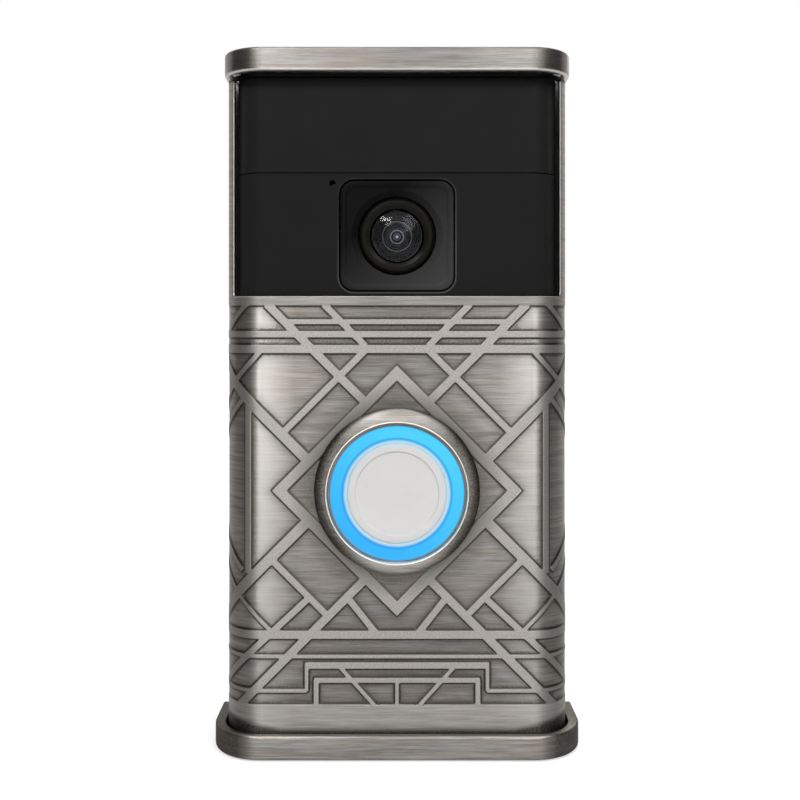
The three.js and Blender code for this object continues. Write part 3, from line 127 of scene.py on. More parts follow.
LEVEL_SHARES = [
    (1.434, 0.92, SLIM),
    (1.328, LEVEL_SHARE, PLAIN),
    (1.202, LEVEL_SHARE, MAIN),
    (-1.221, LEVEL_SHARE, MAIN),
    (-1.405, LEVEL_SHARE, THIN),
    (-1.481, 0.78, PLAIN),
    (-1.607, 0.7, SLIM),
]

# Mesh steps and margins
RIM_STEP = 0.24 * MM
LINE_STEP = 1.6 * MM
BEND_STEP = 0.7 * MM
PANEL_STEP = 0.8 * MM
BACK_STEP = 1.8 * MM
WINDOW_STEPS = (101, 41)
RIB_OFFSETS = [-0.12 * MM, 0.0, RIB_SLOPE, RIB_SLOPE + 0.14 * MM]
CLEAR = 0.3 * MM
MERGE = 0.01 * MM
NORMAL_STEP = 0.05 * MM
ROUND_STEPS = 144
EDGE_STEPS = 5
BEAD_STEPS = 6
CROWN_STEPS = 12
COVE_STEPS = 6

# The ring round the button
BOSS_OUTER = 15.6 * MM
BOSS_INNER = 13.2 * MM
BOSS_INNER_HEIGHT = -17.25 * MM
BOSS_BEAD = 0.26 * MM
BOSS_CROWN = 1.2 * MM
BOSS_SHADE = 5 * MM

# The hood and the tray
CLOSURE_EDGE = 0.5 * MM
HOOD_RADIUS = 7.9 * MM
HOOD_POCKET_SIDE = 31.3 * MM
HOOD_POCKET_FRONT = -28.3 * MM
HOOD_TOP = 1.6 * MM
TRAY_RADIUS = 9.6 * MM
TRAY_POCKET_RADIUS = 7.5 * MM
TRAY_POCKET_SIDE = 33.1 * MM
TRAY_POCKET_FRONT = -31.9 * MM
TRAY_FLOOR = 1.5 * MM
FOOT_SHADE = 3.4 * MM

# The window's seam
SEAM_CLOSE = 0.1 * MM
SEAM_EDGE = 0.08 * MM

# The seal between the halves of the body
SEAL_STEPS = 8
SEAL_CORNER = 1.7 * MM
SEAL_WIDTH = 0.8 * MM
SEAL_CROWN = 0.28 * MM

# The screws
SCREW_STEPS = 48
THREAD_PITCH = 0.7 * MM
THREAD_DEPTH = 0.16 * MM
HEAD_ROUND = 0.6
RECESS_ARM = 0.6
RECESS_WEB = 0.15
RECESS_TAPER = 0.55

# Screws that share a head's radius, its thickness and a shank's radius
SCREWS = [
    ([f"housing_screw_{number}" for number in (1, 2, 3, 4)], 2.2 * MM, 1.4 * MM, 1.2 * MM),
    (["terminal_screw_left", "terminal_screw_right"], 3.2 * MM, 1.5 * MM, 1.4 * MM),
    (["main_board_screw_1", "main_board_screw_2", "sensor_board_screw_1", "sensor_board_screw_2"],
     1.9 * MM, 1.0 * MM, 0.8 * MM),
]

# The setup button
SETUP_RADIUS = 3.0 * MM
SETUP_DISH = 0.3 * MM
SETUP_BRIM = 0.7 * MM
SETUP_BRIM_REAR = -2.5 * MM

# The button
BUTTON_CENTRE = ((CAP_LOW.x + CAP_HIGH.x) / 2, (CAP_LOW.z + CAP_HIGH.z) / 2)
CAP_RADIUS = (CAP_HIGH.x - CAP_LOW.x) / 2
CAP_STEP_RADIUS = 8.0 * MM
CAP_STEP = 0.22 * MM
CAP_DISH = 0.42 * MM
CAP_FACE = 1.6 * MM
CAP_SKIRT = 1.2 * MM
CAP_LIP = 0.7 * MM
CAP_STEM = 3.2 * MM
CAP_ROUND = 0.5 * MM
RING_OUTER = (RING_HIGH.x - RING_LOW.x) / 2
RING_BORE = CAP_RADIUS + 0.05 * MM
FLANGE_RADIUS = BOSS_INNER - 0.06 * MM
FLANGE_DROP = 0.42 * MM
FLANGE_REAR = COVER_FRONT + 1.6 * MM
RING_SLOPE = 0.25 * MM
RING_SHADOW_LINE = 10.3 * MM

# The camera
CAMERA_CENTRE = ((BEZEL_LOW.x + BEZEL_HIGH.x) / 2, (BEZEL_LOW.z + BEZEL_HIGH.z) / 2)
BEZEL_HALF_WIDTH = (BEZEL_HIGH.x - BEZEL_LOW.x) / 2
BEZEL_HALF_HEIGHT = (BEZEL_HIGH.z - BEZEL_LOW.z) / 2
BEZEL_RADIUS = 2.6 * MM
BEZEL_EDGE = 0.25 * MM
BEZEL_RIM = 0.75 * MM
POCKET_LINE = 0.42 * MM
BEZEL_COVE = 0.7 * MM
BEZEL_SINK = 0.26 * MM
BEZEL_DISH_RADIUS = 8.7 * MM
BEZEL_DISH_STEP = 0.08 * MM
BEZEL_DISH_DEPTH = 0.8 * MM
LENS_BORE = 7.5 * MM
LENS_RING_SLOPE = 0.7 * MM
LENS_RING_CREST = 6.7 * MM
LENS_RING_BORE = 5.2 * MM
DOME_WALL = 0.7 * MM
DOME_RISE = 1.1 * MM
DOME_STEPS = 12
BARREL_RADIUS = 4.0 * MM
BARREL_BORE = 2.7 * MM
BARREL_FLANGE_DEPTH = 0.8 * MM
BARREL_LIP = 2.8 * MM
BARREL_GROOVES = 5
BARREL_GROOVE = 0.1 * MM
ELEMENT_RADIUS = (ELEMENT_HIGH.x - ELEMENT_LOW.x) / 2
ELEMENT_CROWN = 0.5 * MM
PUPIL_RADIUS = 1.26 * MM

# The photograph's camera
EYE = Vector((0, -221.5 * MM, 13.7 * MM))
FRAME_PIXELS = 800
HORIZON_PIXEL = 328
MIDDLE_PIXEL = 397
FOCAL_PIXELS = 1016
SENSOR = 36.0
CLIP = (0.01, 20.0)

# The studio: each lamp has a name, a place, a width, a height and its watts
LAMPS = [
    ("key", (-0.35, -0.75, 0.65), 0.34, 0.14, 3.9),
    ("fill", (0.5, -0.75, 0.55), 0.6, 0.6, 4.3),
    ("back", (0.3, 0.9, 0.6), 0.8, 0.5, 4.5),
]
WORLD_FILL = 0.35
STRIP_POWER = 1.1
STRIP_SIDE = 0.14
STRIP_PLACE = 0.6
STRIP_HEIGHT = -0.13
STRIP_WIDTH = 0.13
STRIP_LENGTH = 0.45
CARD_VALUE = 0.15
CARD_SIDE = 0.78
CARD_PLACE = -0.38
CARD_WIDTH = 1.35
CARD_HEIGHT = 1.5
FLOOR_SIZE = 3.0
FLOOR_GAP = 0.3 * MM
FLOOR_NEAR = 0.12
FLOOR_FAR = 1.0

# The strip lamps light only the metal, which is gathered here
METAL_SLOT = "brushed_nickel"
METAL = bpy.data.collections.new("metal")


# Meshes

def solid_mesh(name, vertices, faces):
    """A closed mesh whose faces all look outwards."""
    mesh = bpy.data.meshes.new(name)
    mesh.from_pydata([tuple(v) for v in vertices], [], faces)
    work = bmesh.new()
    work.from_mesh(mesh)
    bmesh.ops.recalc_face_normals(work, faces=work.faces)
    work.to_mesh(mesh)
    work.free()
    mesh.update()
    return mesh


def soften(mesh):
    """Smooth shading, which breaks where two faces meet at more than SHARP."""
    mesh.shade_smooth()
    mesh.set_sharp_from_angle(angle=SHARP)


def placed(name, mesh):
    item = bpy.data.objects.new(name, mesh)
    bpy.context.scene.collection.objects.link(item)
    return item


def dress(piece, node_name, body="housing"):
    """Puts a piece on its body in place of a node if it has one, and among the metal unless its node's slot
    is another.
    """
    slot = NODE_SLOTS.get(node_name, METAL_SLOT)
    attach(piece, body)
    if node_name:
        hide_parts(node_name)
    if slot == METAL_SLOT:
        METAL.objects.link(piece)


def mesh_piece(name, shape, material, node_name=None, body="housing"):
    mesh = solid_mesh(name, *shape)
    soften(mesh)
    mesh.materials.append(material)
    piece = placed(name, mesh)
    dress(piece, node_name, body)
    return piece


def fillet(points, radii, steps=6, closed=False):
    """Rounds the corners of a line of 2D points."""
    made = []
    count = len(points)
    for i, point in enumerate(points):
        radius = radii[i]
        if radius == 0 or (not closed and i in (0, count - 1)):
            made.append(tuple(point))
            continue
        here = Vector(point)
        back = (Vector(points[i - 1]) - here).normalized()
        on = (Vector(points[(i + 1) % count]) - here).normalized()
        half = back.angle(on) / 2
        reach = radius / math.tan(half)
        centre = here + (back + on).normalized() * (radius / math.sin(half))
        start = here + back * reach - centre
        turn = start.angle_signed(here + on * reach - centre)
        for k in range(steps + 1):
            angle = -turn * k / steps
            c, s = math.cos(angle), math.sin(angle)
            made.append((centre.x + start.x * c - start.y * s, centre.y + start.x * s + start.y * c))
    return made


def loft(rows, closed):
    """Joins rings of points that have the same count. A ring may be a single point."""
    vertices, numbers = [], []
    count = max(len(row) for row in rows)
    for row in rows:
        start = len(vertices)
        vertices += row
        numbers.append([start] * count if len(row) == 1 else list(range(start, start + count)))
    faces = []
    pairs = list(zip(numbers, numbers[1:]))
    if closed:
        pairs.append((numbers[-1], numbers[0]))
    for first, second in pairs:
        for k in range(count):
            n = (k + 1) % count
            unique = list(dict.fromkeys([first[k], first[n], second[n], second[k]]))
            if len(unique) > 2:
                faces.append(unique)
    return vertices, faces


def arc(steps, whole=QUARTER):
    """The cosine and sine at even steps through an angle, both ends included."""
    angles = [k * whole / steps for k in range(steps + 1)]
    return [(math.cos(angle), math.sin(angle)) for angle in angles]


def circle(radius, y, centre, steps=ROUND_STEPS):
    """A ring about an axis along Y, or one point where the radius is zero."""
    if radius < MERGE:
        return [(centre[0], y, centre[1])]
    return [(centre[0] + radius * c, y, centre[1] + radius * s) for c, s in arc(steps, 2 * math.pi)[:-1]]


def lathe(profile, centre, closed=False, steps=ROUND_STEPS):
    """Turns (radius, y) points about an axis along Y."""
    return loft([circle(radius, y, centre, steps) for radius, y in profile], closed)


def rounded(corners, steps):
    """The outline through ((radius, y), rounding) corners."""
    return fillet([place for place, _ in corners], [rounding for _, rounding in corners], steps)


def middle_of(low, high):
    """The (x, z) middle of a box."""
    return (low.x + high.x) / 2, (low.z + high.z) / 2


def crowned(radius, rise, y, steps):
    """An arc of (radius, y) points from the axis outwards, on a sphere that falls back by the rise."""
    sphere = (radius ** 2 + rise ** 2) / (2 * rise)
    outs = [radius * k / steps for k in range(steps + 1)]
    return [(out, y + sphere - math.sqrt(sphere ** 2 - out ** 2)) for out in outs]


def rounded_square(half_width, half_height, corner, y, centre, steps=ROUND_STEPS):
    """A ring of points on a rounded rectangle, at the same angles as a circle's."""
    made = []
    for c, s in arc(steps, 2 * math.pi)[:-1]:
        across, up = abs(c), abs(s)
        reach = min(half_width / max(across, MERGE), half_height / max(up, MERGE))
        inner = (half_width - corner, half_height - corner)
        if reach * across > inner[0] and reach * up > inner[1]:
            middle = across * inner[0] + up * inner[1]
            reach = middle + math.sqrt(middle ** 2 - inner[0] ** 2 - inner[1] ** 2 + corner ** 2)
        made.append((centre[0] + reach * c, y, centre[1] + reach * s))
    return made


def plan_outline(side, front, rear, radius, steps=16):
    """A closure seen from above, as (x, y) points: square at the back, round at the front."""
    left = [(-side + radius - radius * c, front + radius - radius * s) for c, s in arc(steps)]
    right = [(side - radius + radius * s, front + radius - radius * c) for c, s in arc(steps)]
    return [(-side, rear)] + left + right + [(side, rear)]


def stacked(rows):
    """A closed solid from rings of points that have the same count, capped at both ends."""
    count = len(rows[0])
    vertices = [p for row in rows for p in row]
    faces = [list(range(count)), list(range((len(rows) - 1) * count, len(rows) * count))[::-1]]
    for r in range(len(rows) - 1):
        for k in range(count):
            n = (k + 1) % count
            faces.append([r * count + n, r * count + k, (r + 1) * count + k, (r + 1) * count + n])
    return vertices, faces


def keep_result(piece, modifier):
    """Puts what a modifier makes into the piece's mesh, and takes the modifier off."""
    graph = bpy.context.evaluated_depsgraph_get()
    made = bpy.data.meshes.new_from_object(piece.evaluated_get(graph))
    piece.modifiers.remove(modifier)
    piece.data = made


def cut(piece, tool_shape):
    """Takes a closed solid away from a piece, with the result kept in its mesh."""
    tool = placed("tool", solid_mesh("tool", *tool_shape))
    modifier = piece.modifiers.new("cut", "BOOLEAN")
    modifier.operation = "DIFFERENCE"
    modifier.solver = "EXACT"
    modifier.object = tool
    keep_result(piece, modifier)
    piece.data.set_sharp_from_angle(angle=SHARP)
    bpy.data.objects.remove(tool)


# Materials

# Cycles of the noises for each metre, the metal's tones and its painted highlight and shade tones, and the
# places where its finish and its painted light and shade change
STREAK_LONG = 130.0
STREAK_FINE = 4400.0
GRAIN = 3300.0
STAIN_AND_SHADE = (0.044, 0.039, 0.032, 1.0)
PAINTED_HIGHLIGHT = (0.47, 0.455, 0.43, 1.0)
EDGE_HIGHLIGHT = (0.68, 0.65, 0.6, 1.0)
LIP_HIGHLIGHT = (0.85, 0.79, 0.7, 1.0)
RIB_TONES = (0.23, 0.37)
HEAD_TONES = (0.16, 0.29)
FOOT_TONES = (0.21, 0.35)
BEND_SHADE_TONE = 0.17
INSIDE_SHADE_TONE = 0.003
RIM_PLACE = 0.5
RIB_ROUGHER = 0.16
HIGHLIGHT_START = 19.3 * MM
BEND_SHADE = 28 * MM
FOOT_RISE_START = 22 * MM
FOOT_RISE = 2.2 * MM
EAR_START = 27 * MM
EAR_END = 30 * MM
EAR_DULL = 0.4
FOOT_HIGHLIGHT = 0.6
HOOD_EAR_START = 25.2 * MM
HOOD_EAR_END = 26.6 * MM
FIELD_TOP = WINDOW_BOTTOM - HEAD_BAND
FIELD_BOTTOM = COVER_LOW.z + FOOT_BAND

# How much of the streaks is fine, and how far each place is stained, painted light or painted shade, as
# shares
FINE_SHARE = 0.62
HIGHLIGHT_SHARE = 0.62
HIGHLIGHT_LEFT = 1.05
HIGHLIGHT_RIGHT = 0.7
LINE_STAIN = 0.6
WIDE_STAIN = 0.5
RING_SHADE_AND_PATINA = 0.7
FOOT_SHADOW = 0.9
BOSS_FOOT_SHADE_AND_PATINA = 0.8
BOSS_SIDE_SHADE = (0.74, 0.97)
EAR_SHADE = 0.78
HOOD_EAR_SHADE = 0.62

# The lens: half widths of the painted reflections of fine rings on it, the size of its painted glint, and
# their colours
LIP_LINE = 0.12 * MM
COATING_LINE = 0.07 * MM
PUPIL_LINE = 0.16 * MM
INNER_LINE = 0.14 * MM
PAINTED_GLINT_RADIUS = 0.36 * MM
COATING_SHARES = ((0.94, 0.4), (0.82, 0.28), (0.7, 0.36), (0.6, 0.24))
LIP_REFLECTION = (0.3, 0.26, 0.32, 1)
COATING_REFLECTION = (0.24, 0.2, 0.26, 1)
PUPIL_REFLECTION = (0.42, 0.4, 0.5, 1)
INNER_RING_REFLECTION = (0.2, 0.2, 0.27, 1)
PAINTED_GLINT_COLOUR = (0.9, 0.9, 0.95, 1)
ELEMENT_TONES = ((0.006, 0.005, 0.009, 1), (0.011, 0.009, 0.015, 1))

# The light: its blues from lower left to upper right, its fine lines with a painted shadow line among them,
# the blue light painted onto the cap, and what lies under and round it
BLUE_LOW = (0.028, 0.445, 0.955, 1)
BLUE_HIGH = (0.07, 0.64, 0.985, 1)
BLUE_SHADOW_LINE = (0.018, 0.3, 0.74, 1)
BLUE_PALE = (0.6, 0.7, 0.74, 1)
BLUE_RIM = (0.05, 0.3, 0.6, 1)
BLUE_SPILL_PAINTED = (0.36, 0.66, 0.8, 1)
BLUE_UNDER = ((0.01, 0.03, 0.06, 1), (0.012, 0.036, 0.07, 1))
MAUVES = ((0.26, 0.225, 0.22, 1), (0.31, 0.27, 0.27, 1))
GLOW_STRENGTH = 0.97
SHADOW_LINE_HALF = 0.4 * MM
PALE_START = 0.15 * MM
PALE_END = 0.1 * MM
RIM_WIDTH = 0.3 * MM
BLUE_SPILL_WIDTH = 0.9 * MM


class Nodes:
    """Short calls for the node trees of the materials."""

    def __init__(self, name):
        self.material = bpy.data.materials.new(name)
        self.material.use_nodes = True
        self.tree = self.material.node_tree
        self.shader = self.tree.nodes["Principled BSDF"]
        self.coordinates = self.add("ShaderNodeTexCoord")
        self.place = self.coordinates.outputs["Object"]

    def add(self, kind, inputs=None, **values):
        node = self.tree.nodes.new(kind)
        for key, value in values.items():
            setattr(node, key, value)
        for key, value in (inputs or {}).items():
            self.link(value, node.inputs[key])
        return node

    def link(self, source, target):
        if isinstance(source, (int, float, tuple)):
            target.default_value = source
        else:
            self.tree.links.new(source, target)

    def mapped(self, **inputs):
        return self.add("ShaderNodeMapping", {"Vector": self.place, **inputs}).outputs["Vector"]

    def noise(self, scale, detail=3.0, roughness=0.55):
        """Noise whose scale is a number or an (x, y, z) in cycles for each metre."""
        place = self.mapped(Scale=scale if isinstance(scale, tuple) else (scale,) * 3)
        inputs = {"Vector": place, "Scale": 1.0, "Detail": detail, "Roughness": roughness}
        return self.add("ShaderNodeTexNoise", inputs).outputs["Fac"]

    def axes(self, source="Object"):
        """The x, y and z of each point, or of its normal."""
        split = self.add("ShaderNodeSeparateXYZ", {"Vector": self.coordinates.outputs[source]})
        return [split.outputs[axis] for axis in "XYZ"]

    def math(self, operation, a, b=0.0, clamp=False):
        return self.add("ShaderNodeMath", {0: a, 1: b}, operation=operation, use_clamp=clamp).outputs[0]

    def plus(self, a, b, clamp=False):
        return self.math("ADD", a, b, clamp)

    def minus(self, a, b):
        return self.math("SUBTRACT", a, b)

    def times(self, a, b, clamp=False):
        return self.math("MULTIPLY", a, b, clamp)

    def larger(self, a, b):
        return self.math("MAXIMUM", a, b)

    def size(self, a):
        return self.math("ABSOLUTE", a)

    def spread(self, value, low, high, to_low=0.0, to_high=1.0):
        inputs = {"Value": value, "From Min": low, "From Max": high, "To Min": to_low, "To Max": to_high}
        return self.add("ShaderNodeMapRange", inputs).outputs["Result"]

    def vary(self, noise, low, high):
        """The usual range of a noise, spread between two values."""
        return self.spread(noise, 0.3, 0.7, low, high)

    def blend(self, share, a, b):
        return self.add("ShaderNodeMix", {0: share, 6: a, 7: b}, data_type="RGBA").outputs[2]

    def attribute(self, name):
        return self.add("ShaderNodeAttribute", attribute_name=name).outputs["Fac"]

    def bump(self, height, strength, distance, normal=None):
        inputs = {"Strength": strength, "Distance": distance, "Height": height}
        if normal is not None:
            inputs["Normal"] = normal
        return self.add("ShaderNodeBump", inputs).outputs["Normal"]

    def set(self, **values):
        for key, value in values.items():
            self.link(value, self.shader.inputs[key.replace("_", " ")])
        return self.material


def grey(value, warm=0.0):
    return (value * (1 + warm), value, value * (1 - warm), 1.0)


def radius_from(n, centre):
    """Distance from an axis along Y through (x, z), in the material's own nodes."""
    x, _, z = n.axes()
    return length_of(n, n.minus(x, centre[0]), n.minus(z, centre[1]))


def past(n, value, limit):
    """How far a value lies beyond a limit, or zero."""
    return n.larger(n.minus(value, limit), 0.0)


def length_of(n, first, second):
    return n.math("SQRT", n.plus(n.times(first, first), n.times(second, second)))


def darken_with_stain_and_shade(n, colour, amount, grain):
    """Darkens a metal's colour with a ragged brown-black tone: patina in some places, painted shade in
    others.
    """
    ragged = n.times(amount, n.vary(grain, 0.75, 1.2), clamp=True)
    return n.blend(ragged, colour, STAIN_AND_SHADE)


def level_faces(n):
    """1 on faces that look up or down, 0 on upright ones."""
    return n.spread(n.size(n.axes("Normal")[2]), 0.6, 0.8)


def brushed(n, long, fine, detail, roughness, level=None):
    """Noise drawn out level with the floor, and along X on faces that are level themselves."""
    upright = n.noise((long, long, fine), detail, roughness)
    if level is None:
        return upright
    return n.blend(level, upright, n.noise((long, fine, long), detail, roughness))


def relief_patina_and_painted_light(n, colour, bright, grain):
    """Patina-stained panels between light ribs, a painted highlight on the bands beside the bends, painted
    shade on the ribs at the bends, at the foot, round the boss, on the inside and on the top rail, and
    painted pale edges.
    """
    x, _, z = n.axes()
    reach = n.attribute("reach")
    place = n.attribute("inside")
    across = n.size(x)
    bend = n.spread(across, COVER_FLAT, BEND_SHADE, 1.0, 0.0)
    # Painted highlight: the front is painted lighter beside both bends, more on the left than on the right
    highlight = n.times(n.spread(across, HIGHLIGHT_START, COVER_FLAT, 0.0, HIGHLIGHT_SHARE), bend)
    highlight = n.times(highlight, n.spread(x, -COVER_FLAT, COVER_FLAT, HIGHLIGHT_LEFT, HIGHLIGHT_RIGHT))
    rib = n.blend(n.spread(grain, 0.32, 0.68), grey(RIB_TONES[0], 0.06), grey(RIB_TONES[1], 0.05))
    head = n.blend(bright, grey(HEAD_TONES[0], 0.06), grey(HEAD_TONES[1], 0.06))
    foot = n.blend(bright, grey(FOOT_TONES[0], 0.06), grey(FOOT_TONES[1], 0.05))
    # The foot band takes a share of the painted highlight too
    foot = n.blend(n.times(highlight, FOOT_HIGHLIGHT), foot, PAINTED_HIGHLIGHT)
    # Painted shade: the ribs are painted darker where the cover bends
    rib = n.blend(n.spread(bend, 1.0, 0.0, 0.0, 0.6), rib, grey(BEND_SHADE_TONE, 0.05))
    rib = n.blend(n.spread(z, FIELD_TOP - CLEAR, FIELD_TOP), rib, head)
    rib = n.blend(n.spread(z, FIELD_BOTTOM, FIELD_BOTTOM + CLEAR, 1.0, 0.0), rib, foot)
    on_rib = n.spread(reach, -0.04, 0.08, 1.0, 0.0)
    colour = n.blend(on_rib, n.blend(highlight, colour, PAINTED_HIGHLIGHT), rib)
    # Painted highlight: the chamfer and the cut edge round the cover's loops are painted pale
    rim = n.spread(place, RIM_PLACE * 0.4, RIM_PLACE * 0.7)
    colour = n.blend(rim, colour, EDGE_HIGHLIGHT)
    line = n.times(n.spread(reach, 0.0, 0.1), n.spread(reach, 0.2, 0.6, 1.0, 0.0))
    wide = n.spread(reach, 0.2, 2.6, 1.0, 0.0)
    wide = n.times(n.times(wide, wide), n.minus(1.0, on_rib))
    patina_and_shade = n.plus(n.times(line, LINE_STAIN), n.times(wide, WIDE_STAIN))
    # Painted shade round the boss, partly patina
    ring = radius_from(n, (0, DIAMOND_HEIGHT))
    patina_and_shade = n.larger(patina_and_shade, n.spread(ring, BOSS_OUTER, BOSS_OUTER + BOSS_SHADE, RING_SHADE_AND_PATINA, 0.0))
    # Painted shadow at the cover's foot down in the tray, rising towards the bends
    foot_z = n.spread(across, FOOT_RISE_START, COVER_SIDE, COVER_LOW.z, COVER_LOW.z + FOOT_RISE)
    above_foot = n.minus(z, foot_z)
    patina_and_shade = n.larger(patina_and_shade, n.spread(above_foot, FOOT_SHADE * 0.7, FOOT_SHADE, FOOT_SHADOW, 0.0))
    colour = darken_with_stain_and_shade(n, colour, patina_and_shade, grain)
    # Painted shade: the cover's inside and the top rail under the hood are painted near black
    inside = n.spread(place, RIM_PLACE * 1.1, RIM_PLACE * 1.3)
    rail = COVER_HIGH.z - TOP_RAIL
    rail = n.spread(z, rail - COVER_EDGE * 2, rail)
    return n.blend(n.larger(inside, rail), colour, grey(INSIDE_SHADE_TONE)), n.times(on_rib, RIB_ROUGHER)


def boss_painted_light(n, colour, grain):
    """Painted shade at its foot, partly patina, and towards both sides, with a painted highlight on its lip.
    """
    x, y, _ = n.axes()
    # Painted shade at the boss's foot, partly patina
    foot = n.spread(y, COVER_LOW.y + BOSS_CROWN * 0.8, COVER_FRONT, 0.0, BOSS_FOOT_SHADE_AND_PATINA)
    start = BOSS_INNER + BOSS_BEAD
    # Painted shade: the crown is painted darker outwards on both sides
    outward = n.spread(radius_from(n, (0, DIAMOND_HEIGHT)), start, BOSS_OUTER, *BOSS_SIDE_SHADE)
    sideways = n.spread(n.size(x), BOSS_INNER * 0.3, BOSS_INNER * 0.85)
    colour = darken_with_stain_and_shade(n, colour, n.larger(foot, n.times(outward, sideways)), grain)
    # Painted highlight: a pale line on the bead at the inner lip
    inner = radius_from(n, (0, BOSS_INNER_HEIGHT))
    return n.blend(n.spread(inner, start - BOSS_BEAD * 0.2, start, 1.0, 0.0), colour, LIP_HIGHLIGHT)


def tray_painted_shade(n, colour, grain):
    """Painted shade in its pocket and on its ears, which also reflect more dully."""
    x, y, _ = n.axes()
    # Painted shade in the pocket round the cover's foot
    past_x = past(n, n.size(x), TRAY_POCKET_SIDE - TRAY_POCKET_RADIUS)
    past_y = n.larger(n.minus(TRAY_POCKET_FRONT + TRAY_POCKET_RADIUS, y), 0.0)
    pocket = n.math("LESS_THAN", length_of(n, past_x, past_y), TRAY_POCKET_RADIUS + COVER_EDGE / 2)
    # Painted shade on the ears, whose reflection is also greyed through the specular tint
    ears = n.spread(n.size(x), EAR_START, EAR_END, 0.0, EAR_SHADE)
    n.set(Specular_Tint=n.blend(ears, grey(1.0), grey(EAR_DULL)))
    return darken_with_stain_and_shade(n, darken_with_stain_and_shade(n, colour, pocket, grain), ears, grain)


def hood_painted_light(n, colour, grain, level):
    """Painted shade on its upright ears, with a painted highlight along its lower edge."""
    x, _, z = n.axes()
    # Painted shade on the hood's upright ears
    ears = n.spread(n.size(x), HOOD_EAR_START, HOOD_EAR_END, 0.0, HOOD_EAR_SHADE)
    colour = darken_with_stain_and_shade(n, colour, n.times(ears, n.minus(1.0, level)), grain)
    # Painted highlight: a pale line along the hood's lower edge
    edge = n.spread(z, HOOD_LOW.z + CLOSURE_EDGE * 0.5, HOOD_LOW.z + CLOSURE_EDGE, 1.0, 0.0)
    return n.blend(edge, colour, EDGE_HIGHLIGHT)


def nickel_material(name, low, high, finish_and_light, smooth=0.3):
    """Horizontally brushed antique nickel between two tones, with the finish and the painted light and shade
    of one piece.
    """
    n = Nodes(name)
    level = level_faces(n) if finish_and_light in ("tray", "hood") else None
    streaks = brushed(n, STREAK_LONG, STREAK_FINE, 5.0, 0.68, level)
    broad = brushed(n, STREAK_LONG * 0.6, STREAK_FINE * 0.25, 4.0, 0.6, level)
    hue = brushed(n, STREAK_LONG * 0.5, STREAK_FINE * 0.14, 3.0, 0.5, level)
    grain = n.noise(GRAIN, 3.0, 0.65)
    bright = n.spread(n.plus(n.times(streaks, FINE_SHARE), n.times(broad, 1 - FINE_SHARE)), 0.38, 0.62)
    warmth = n.spread(hue, 0.36, 0.64)
    colour = n.blend(bright, n.blend(warmth, grey(low, 0.05), grey(low, 0.13)),
                     n.blend(warmth, grey(high, 0.03), grey(high, 0.09)))
    rough = n.spread(n.plus(streaks, n.times(grain, 0.4)), 0.4, 1.0, smooth, smooth + 0.12)
    if finish_and_light == "relief":
        colour, rougher = relief_patina_and_painted_light(n, colour, bright, grain)
        rough = n.plus(rough, rougher)
    elif finish_and_light == "boss":
        colour = boss_painted_light(n, colour, grain)
    elif finish_and_light == "tray":
        colour = tray_painted_shade(n, colour, grain)
    else:
        colour = hood_painted_light(n, colour, grain, level)
    n.set(Base_Color=colour, Metallic=1.0, Anisotropic=0.7, Anisotropic_Rotation=0.25)
    n.set(Tangent=n.add("ShaderNodeTangent", direction_type="RADIAL", axis="Z").outputs["Tangent"])
    return n.set(Roughness=rough, Normal=n.bump(grain, 0.25, 0.02 * MM, n.bump(streaks, 0.4, 0.01 * MM)))


def pocket_edge_highlight(n):
    """Painted highlight: 1 on the fine light edge of the pocket round the camera, strongest at its lower
    right.
    """
    x, _, z = n.axes()
    height = n.minus(z, CAMERA_CENTRE[1])
    straight_x, straight_z = BEZEL_HALF_WIDTH - BEZEL_RADIUS, BEZEL_HALF_HEIGHT - BEZEL_RADIUS
    out = length_of(n, past(n, n.size(x), straight_x), past(n, n.size(height), straight_z))
    slope = n.spread(n.minus(n.times(x, 0.5), height), -straight_x, straight_x, 0.1, 1.0)
    return n.times(ring_mask(n, out, BEZEL_RADIUS + POCKET_LINE, POCKET_LINE / 2), slope)


def plastic_material(name, colour, roughness, specular=0.5, texture=2600.0, depth=0.008 * MM,
                     pocket=False):
    """Moulded plastic with a fine sparked skin."""
    n = Nodes(name)
    skin = n.noise(texture, 3.0, 0.6)
    wear = n.noise(120.0, 4.0, 0.55)
    darker = tuple(c * 0.85 for c in colour[:3]) + (1.0,)
    base = n.blend(n.spread(wear, 0.35, 0.7, 0.0, 0.6), colour, darker)
    # Painted highlight on the edge of the camera's pocket
    if pocket:
        base = n.blend(pocket_edge_highlight(n), base, grey(0.085))
    n.set(Base_Color=base, Roughness=n.vary(skin, roughness * 0.9, roughness * 1.1))
    return n.set(Specular_IOR_Level=specular, Normal=n.bump(skin, 0.25, depth))


def steel_material(name, value=0.5):
    n = Nodes(name)
    turned = n.noise(900.0, 4.0, 0.6)
    smear = n.noise(150.0, 3.0, 0.5)
    smear = n.spread(smear, 0.35, 0.7, 0.0, 0.7)
    n.set(Base_Color=n.blend(smear, grey(value, 0.01), grey(value * 0.7, 0.03)))
    n.set(Metallic=1.0, Roughness=n.vary(turned, 0.24, 0.4))
    return n.set(Normal=n.bump(turned, 0.2, 0.01 * MM))


def board_material(name):
    """Green solder mask over a pattern of copper runs."""
    n = Nodes(name)
    runs = n.add("ShaderNodeTexBrick", {
        "Vector": n.mapped(Rotation=(QUARTER, 0, 0)), "Scale": 260.0, "Mortar Size": 0.06,
        "Color1": (0.012, 0.09, 0.04, 1), "Color2": (0.016, 0.11, 0.05, 1), "Mortar": (0.035, 0.2, 0.085, 1),
    }, offset=0.37, squash=1.6)
    weave = n.noise(1800.0, 2.0)
    share = n.vary(weave, 0.0, 0.4)
    n.set(Base_Color=n.blend(share, runs.outputs["Color"], (0.01, 0.07, 0.03, 1)))
    n.set(Roughness=n.vary(weave, 0.28, 0.42))
    return n.set(Normal=n.bump(runs.outputs["Fac"], 0.3, 0.02 * MM))


